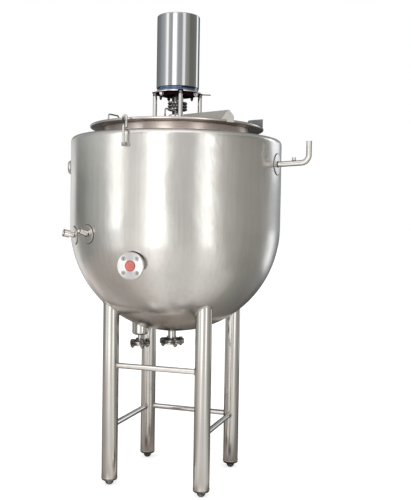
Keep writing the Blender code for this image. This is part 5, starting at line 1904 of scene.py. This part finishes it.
@dataclass(frozen=True)
class StudioSize:
    """The surroundings, and the camera as it was worked out from the photograph.

    The rings walls, upper, lofty and high are what the steel mirrors at eye level and further and further up: a
    doorway and two windows as upright white strips, with grey walls between them. Above them is the roof. The
    pairs in climbs and roof say between which heights on the unit sphere each takes over from the one before.
    The rings under, ground, middle and distant are the floor from below the vessel out to the walls, and reaches
    says between which distances each takes over. The ring beside is the floor round the two front feet.
    """

    walls: Ring = marks(
        (-180, 0.08, GREEN), (-167, 0.40, GREEN), (-158, 0.95, COOL), (-141, 1.05, BEIGE), (-133, 0.20, GREEN),
        (-117, 0.24, GREEN), (-100, 0.48, GREEN), (-81, 0.58, GREEN), (-74, 0.85, WHITE), (-69, 2.30, WHITE),
        (-61, 2.20, WHITE), (-55, 0.75, BEIGE), (-41, 0.95, BEIGE), (-32, 1.50, WHITE), (-26, 2.90, WHITE),
        (-16, 2.50, WHITE), (-9, 0.78, BEIGE), (3, 0.65, BEIGE), (20, 0.62, BEIGE), (27, 1.40, WHITE),
        (35, 3.00, WHITE), (42, 0.92, BEIGE), (54, 0.62, OLIVE), (75, 0.45, OLIVE), (108, 0.40, OLIVE),
        (129, 0.58, COOL), (150, 0.36, COOL), (170, 0.30, COOL), (180, 0.08, COOL),
    )
    upper: Ring = marks(
        (-180, 0.08, GREEN), (-168, 0.70, COOL), (-141, 0.72, BEIGE), (-131, 0.40, GREEN), (-115, 0.58, GREEN),
        (-95, 0.76, GREEN), (-82, 0.85, GREEN), (-72, 1.80, WHITE), (-63, 2.30, WHITE), (-54, 0.84, BEIGE),
        (-38, 0.82, BEIGE), (-30, 0.90, WHITE), (-24, 2.20, WHITE), (-16, 2.20, WHITE), (-9, 0.88, BEIGE),
        (3, 0.74, BEIGE), (17, 0.74, BEIGE), (27, 1.90, WHITE), (33, 1.60, WHITE), (39, 0.66, BEIGE),
        (54, 0.48, OLIVE), (75, 0.38, OLIVE), (114, 0.26, OLIVE), (122, 0.50, COOL), (128, 1.80, COOL),
        (144, 1.50, SLATE), (151, 0.30, COOL), (170, 0.30, COOL), (180, 0.08, COOL),
    )
    lofty: Ring = marks(
        (-180, 0.06, GREEN), (-158, 0.30, GREEN), (-138, 0.50, COOL), (-118, 0.42, SLATE), (-98, 0.60, COOL),
        (-80, 0.72, COOL), (-69, 1.20, WHITE), (-64, 2.00, WHITE), (-57, 1.90, WHITE), (-50, 0.75, COOL),
        (-34, 0.66, COOL), (-26, 2.60, WHITE), (-11, 2.30, WHITE), (-4, 0.85, COOL), (4, 0.64, COOL),
        (19, 0.62, COOL), (27, 1.60, WHITE), (35, 1.70, WHITE), (41, 0.60, COOL), (56, 0.48, OLIVE),
        (68, 0.27, OLIVE), (90, 0.28, OLIVE), (114, 0.40, OLIVE), (121, 2.40, WHITE), (130, 2.40, SLATE),
        (137, 0.45, SLATE), (160, 0.26, GREEN), (180, 0.06, GREEN),
    )
    high: Ring = marks(
        (-180, 0.12, BEIGE), (-120, 0.50, GREEN), (-85, 0.80, BEIGE), (-45, 1.35, BEIGE), (0, 1.50, BEIGE),
        (32, 1.35, BEIGE), (62, 0.62, BEIGE), (95, 0.42, OLIVE), (135, 0.40, COOL), (180, 0.12, BEIGE),
    )
    above: Mark = Mark(0, 0.75, BEIGE)
    climbs: tuple[tuple[float, float], ...] = ((0.04, 0.115), (0.13, 0.18), (0.30, 0.54))
    roof: tuple[float, float] = (0.85, 1.0)
    distant: Ring = marks(
        (-180, 0.12, GREEN), (-163, 0.55, COOL), (-137, 1.05, BEIGE), (-124, 0.42, GREEN), (-108, 0.32, GREEN),
        (-85, 0.48, GREEN), (-72, 0.82, WHITE), (-62, 1.35, WHITE), (-50, 0.90, BEIGE), (-36, 1.10, WHITE),
        (-26, 2.30, WHITE), (-16, 2.20, WHITE), (-6, 0.92, BEIGE), (3, 0.70, BEIGE), (19, 0.72, BEIGE),
        (28, 1.80, WHITE), (36, 1.90, WHITE), (43, 0.78, BEIGE), (57, 0.50, OLIVE), (80, 0.36, OLIVE),
        (108, 0.34, OLIVE), (128, 1.55, COOL), (142, 0.42, COOL), (154, 0.18, COOL), (180, 0.10, COOL),
    )
    middle: Ring = marks(
        (-180, 0.04, SOIL), (-152, 0.34, SOIL), (-130, 0.84, EARTH), (-108, 0.47, EARTH), (-80, 0.52, EARTH),
        (-57, 0.75, EARTH), (-36, 1.00, BEIGE), (-22, 1.38, BEIGE), (-7, 0.92, BEIGE), (12, 0.78, BEIGE),
        (28, 1.10, BEIGE), (36, 1.12, BEIGE), (46, 0.78, BEIGE), (60, 0.45, OLIVE), (85, 0.31, OLIVE),
        (112, 0.30, OLIVE), (127, 0.30, COOL), (150, 0.12, EARTH), (180, 0.04, SOIL),
    )
    ground: Ring = marks(
        (-180, 0.15, SOIL), (-147, 0.18, SOIL), (-118, 0.56, EARTH), (-90, 0.46, EARTH), (-70, 0.48, EARTH),
        (-48, 0.72, EARTH), (-24, 1.00, BEIGE), (-4, 0.82, BEIGE), (12, 0.79, BEIGE), (29, 0.92, BEIGE),
        (46, 0.80, BEIGE), (62, 0.66, OLIVE), (78, 0.34, OLIVE), (105, 0.25, OLIVE), (130, 0.20, EARTH),
        (180, 0.15, SOIL),
    )
    under: Ring = marks(
        (-180, 0.38, SOIL), (-120, 0.28, SOIL), (-70, 0.40, EARTH), (-27, 0.70, EARTH), (-5, 0.66, EARTH),
        (28, 0.68, EARTH), (60, 0.42, EARTH), (90, 0.27, SOIL), (135, 0.32, SOIL), (180, 0.38, SOIL),
    )
    reaches: tuple[tuple[float, float], ...] = ((0.02, 0.98), (1.20, 2.10), (2.60, 4.20))
    beside: Ring = marks(
        (-180, 0.15, SOIL), (-120, 0.32, SOIL), (-80, 0.38, EARTH), (-58, 0.40, EARTH), (-42, 0.62, EARTH),
        (-29, 1.05, BEIGE), (-15, 1.15, BEIGE), (-4, 0.95, BEIGE), (14, 0.80, BEIGE), (32, 0.90, BEIGE),
        (46, 0.70, BEIGE), (58, 0.45, OLIVE), (72, 0.28, OLIVE), (95, 0.18, SOIL), (130, 0.12, SOIL),
        (180, 0.15, SOIL),
    )
    beside_reach: tuple[float, float] = (0.12, 0.27)
    dome: float = 40.0
    floor_glow: float = 0.62
    floor_albedo: float = 0.8
    focal: float = 758.77
    rows: float = 500.0
    sensor: float = 36.0
    place: tuple[float, float, float] = (0.0, -3.6568, 1.2259)
    pitch: float = 2.005
    yaw: float = 2.274
    roll: float = 0.918


class Sky(Nodes):
    """Lights by direction, worked out in a node tree from a direction or a place."""

    def __init__(self, tree: bpy.types.NodeTree, source: Output) -> None:
        """Splits the source and finds its turn round Z, 0.5 + atan2(x, -y) / (2 pi), 0.5 towards the front.

        Args:
            tree: The tree to work in.
            source: A direction or a place.
        """
        super().__init__(tree)
        self.parts = self.node("SeparateXYZ", {0: source}).outputs
        azimuth = self.maths("ARCTAN2", self.parts[0], self.maths("MULTIPLY", self.parts[1], -1.0))
        self.turn = self.maths("ADD", self.maths("DIVIDE", azimuth, TAU), 0.5)

    def ring(self, lights: Ring) -> Output:
        """A ramp that runs once round through the lights.

        Args:
            lights: The lights, in the order of their angles.

        Returns:
            The light in the source's direction.
        """
        node = self.node("ValToRGB", {0: self.turn})
        node.color_ramp.interpolation = "EASE"
        elements = node.color_ramp.elements
        for number, mark in enumerate(lights):
            place = mark.angle / 360.0 + 0.5
            element = elements[number] if number < 2 else elements.new(place)
            element.position = place
            element.color = (*mark.colour(), 1.0)
        return node.outputs[0]


class Studio:
    """The surroundings that the steel mirrors, the floor, the pale backdrop and the camera."""

    def __init__(self, size: StudioSize, feet: list[np.ndarray]) -> None:
        """Keeps the sizes, and where the feet stand that light the floor beside them."""
        self.size = size
        self.feet = feet

    def build(self) -> None:
        """Builds the surroundings, the stage and the camera."""
        self.world()
        self.stage()
        self.camera()
        bpy.context.scene.view_settings.view_transform = "Standard"

    def world(self) -> None:
        """Light by direction: the walls at eye level and further up, and the roof."""
        size = self.size
        world = bpy.data.worlds.new("studio")
        world.use_nodes = True
        bpy.context.scene.world = world
        tree = world.node_tree
        sky = Sky(tree, tree.nodes.new("ShaderNodeTexCoord").outputs["Generated"])
        height = sky.parts[2]
        light = sky.ring(size.walls)
        for climb, lights in zip(size.climbs, (size.upper, size.lofty, size.high)):
            light = sky.blend(sky.span(height, *climb), light, sky.ring(lights))
        light = sky.blend(sky.span(height, *size.roof), light, size.above.colour())
        sky.join(light, tree.nodes["Background"].inputs["Color"])

    def mirrored_floor(self) -> bpy.types.Material:
        """The floor as the steel mirrors it: rings of light by azimuth, from below the vessel outwards.

        Returns:
            The material.
        """
        size = self.size
        material = bpy.data.materials.new("floor_mirrored")
        material.use_nodes = True
        tree = material.node_tree
        tree.nodes.clear()
        coords = tree.nodes.new("ShaderNodeTexCoord").outputs["Object"]
        sky = Sky(tree, coords)
        distance = sky.measure("LENGTH", coords)
        light = sky.ring(size.under)
        for reach, lights in zip(size.reaches, (size.ground, size.middle, size.distant)):
            light = sky.blend(sky.span(distance, *reach), light, sky.ring(lights))
        for place in self.feet:
            away = sky.vector("SUBTRACT", coords, tuple(place + AXIS))
            near = Sky(tree, away)
            share = near.span(near.measure("LENGTH", away), *size.beside_reach)
            light = sky.blend(share, near.ring(size.beside), light)
        glow = sky.node("Emission", {"Color": light})
        sky.node("OutputMaterial", {"Surface": glow.outputs[0]})
        return material

    def stage(self) -> None:
        """A pale floor and a white dome for the camera, and the floor that only the steel mirrors."""
        size = self.size
        dome = revolve(arc((0.0, 0.0), size.dome, -90.0, 90.0, 24), 48, closed=False)
        disc = Skin(circle(size.dome * 0.98, 0.0, 96), [np.arange(96)[None]])
        white = self.flat_material("backdrop_white", 1.0, 0.0)
        pale = self.flat_material("floor_pale", size.floor_glow, size.floor_albedo)
        self.staged("backdrop", dome, white, camera=True, light=False)
        self.staged("floor", disc, pale, camera=True, light=True)
        below = disc.placed(shift(0.0, 0.0, -0.004))
        self.staged("floor_in_steel", below, self.mirrored_floor(), camera=False, light=False)

    def staged(self, name: str, skin: Skin, material: bpy.types.Material, camera: bool, light: bool) -> None:
        """Makes one piece of the stage.

        Args:
            name: Its name.
            skin: Its surface.
            material: Its material.
            camera: Whether the camera sees it; the steel mirrors what the camera doesn't see.
            light: Whether it takes shadows and sends light back.
        """
        mesh = bpy.data.meshes.new(name)
        mesh.from_pydata(skin.verts.tolist(), [], skin.rows())
        mesh.shade_smooth()
        mesh.materials.append(material)
        item = bpy.data.objects.new(name, mesh)
        bpy.context.scene.collection.objects.link(item)
        item.visible_camera = camera
        item.visible_glossy = not camera
        item.visible_diffuse = light
        item.visible_transmission = False
        item.visible_shadow = light

    def flat_material(self, name: str, glow: float, albedo: float) -> bpy.types.Material:
        """A matt surface that also glows a little.

        Args:
            name: The material's name.
            glow: Strength of its own white light.
            albedo: Share of the light that it sends back.

        Returns:
            The material.
        """
        shader = Shader(name)
        for label, value in (
            ("Base Color", (albedo, albedo, albedo, 1.0)),
            ("Roughness", 1.0),
            ("Specular IOR Level", 0.0),
            ("Emission Color", (1.0, 1.0, 1.0, 1.0)),
            ("Emission Strength", glow),
        ):
            shader.join(value, shader.inputs[label])
        return shader.material

    def camera(self) -> None:
        """The photograph's camera: pitched down, turned to the right and rolled a little."""
        size = self.size
        pitch, yaw, roll = (math.radians(value) for value in (size.pitch, size.yaw, size.roll))
        ahead = np.array([math.sin(yaw) * math.cos(pitch), math.cos(yaw) * math.cos(pitch), -math.sin(pitch)])
        right = np.array([math.cos(yaw), -math.sin(yaw), 0.0])
        over = np.cross(right, ahead)
        across = right * math.cos(roll) + over * math.sin(roll)
        upward = over * math.cos(roll) - right * math.sin(roll)
        data = bpy.data.cameras.new("camera")
        data.sensor_width = size.sensor
        data.lens = size.focal * size.sensor / size.rows
        data.clip_end = 200.0
        item = bpy.data.objects.new("camera", data)
        item.matrix_world = Matrix(frame_of(across, upward, -ahead, np.array(size.place) + AXIS).tolist())
        bpy.context.scene.collection.objects.link(item)
        bpy.context.scene.camera = item


def main() -> None:
    """Builds every sub-assembly in order."""
    logging.basicConfig(level=logging.INFO, format="%(message)s")
    dresser, vessel = Dresser(), VesselSize()
    for assembly in (Vessel, Lid, Latch, Drive, Stand, Fittings, Agitator):
        assembly(dresser, vessel).build()
    places = StandSize().places()
    Studio(StudioSize(), [places["front_left"], places["front_right"]]).build()


if __name__ == "__main__":
    main()
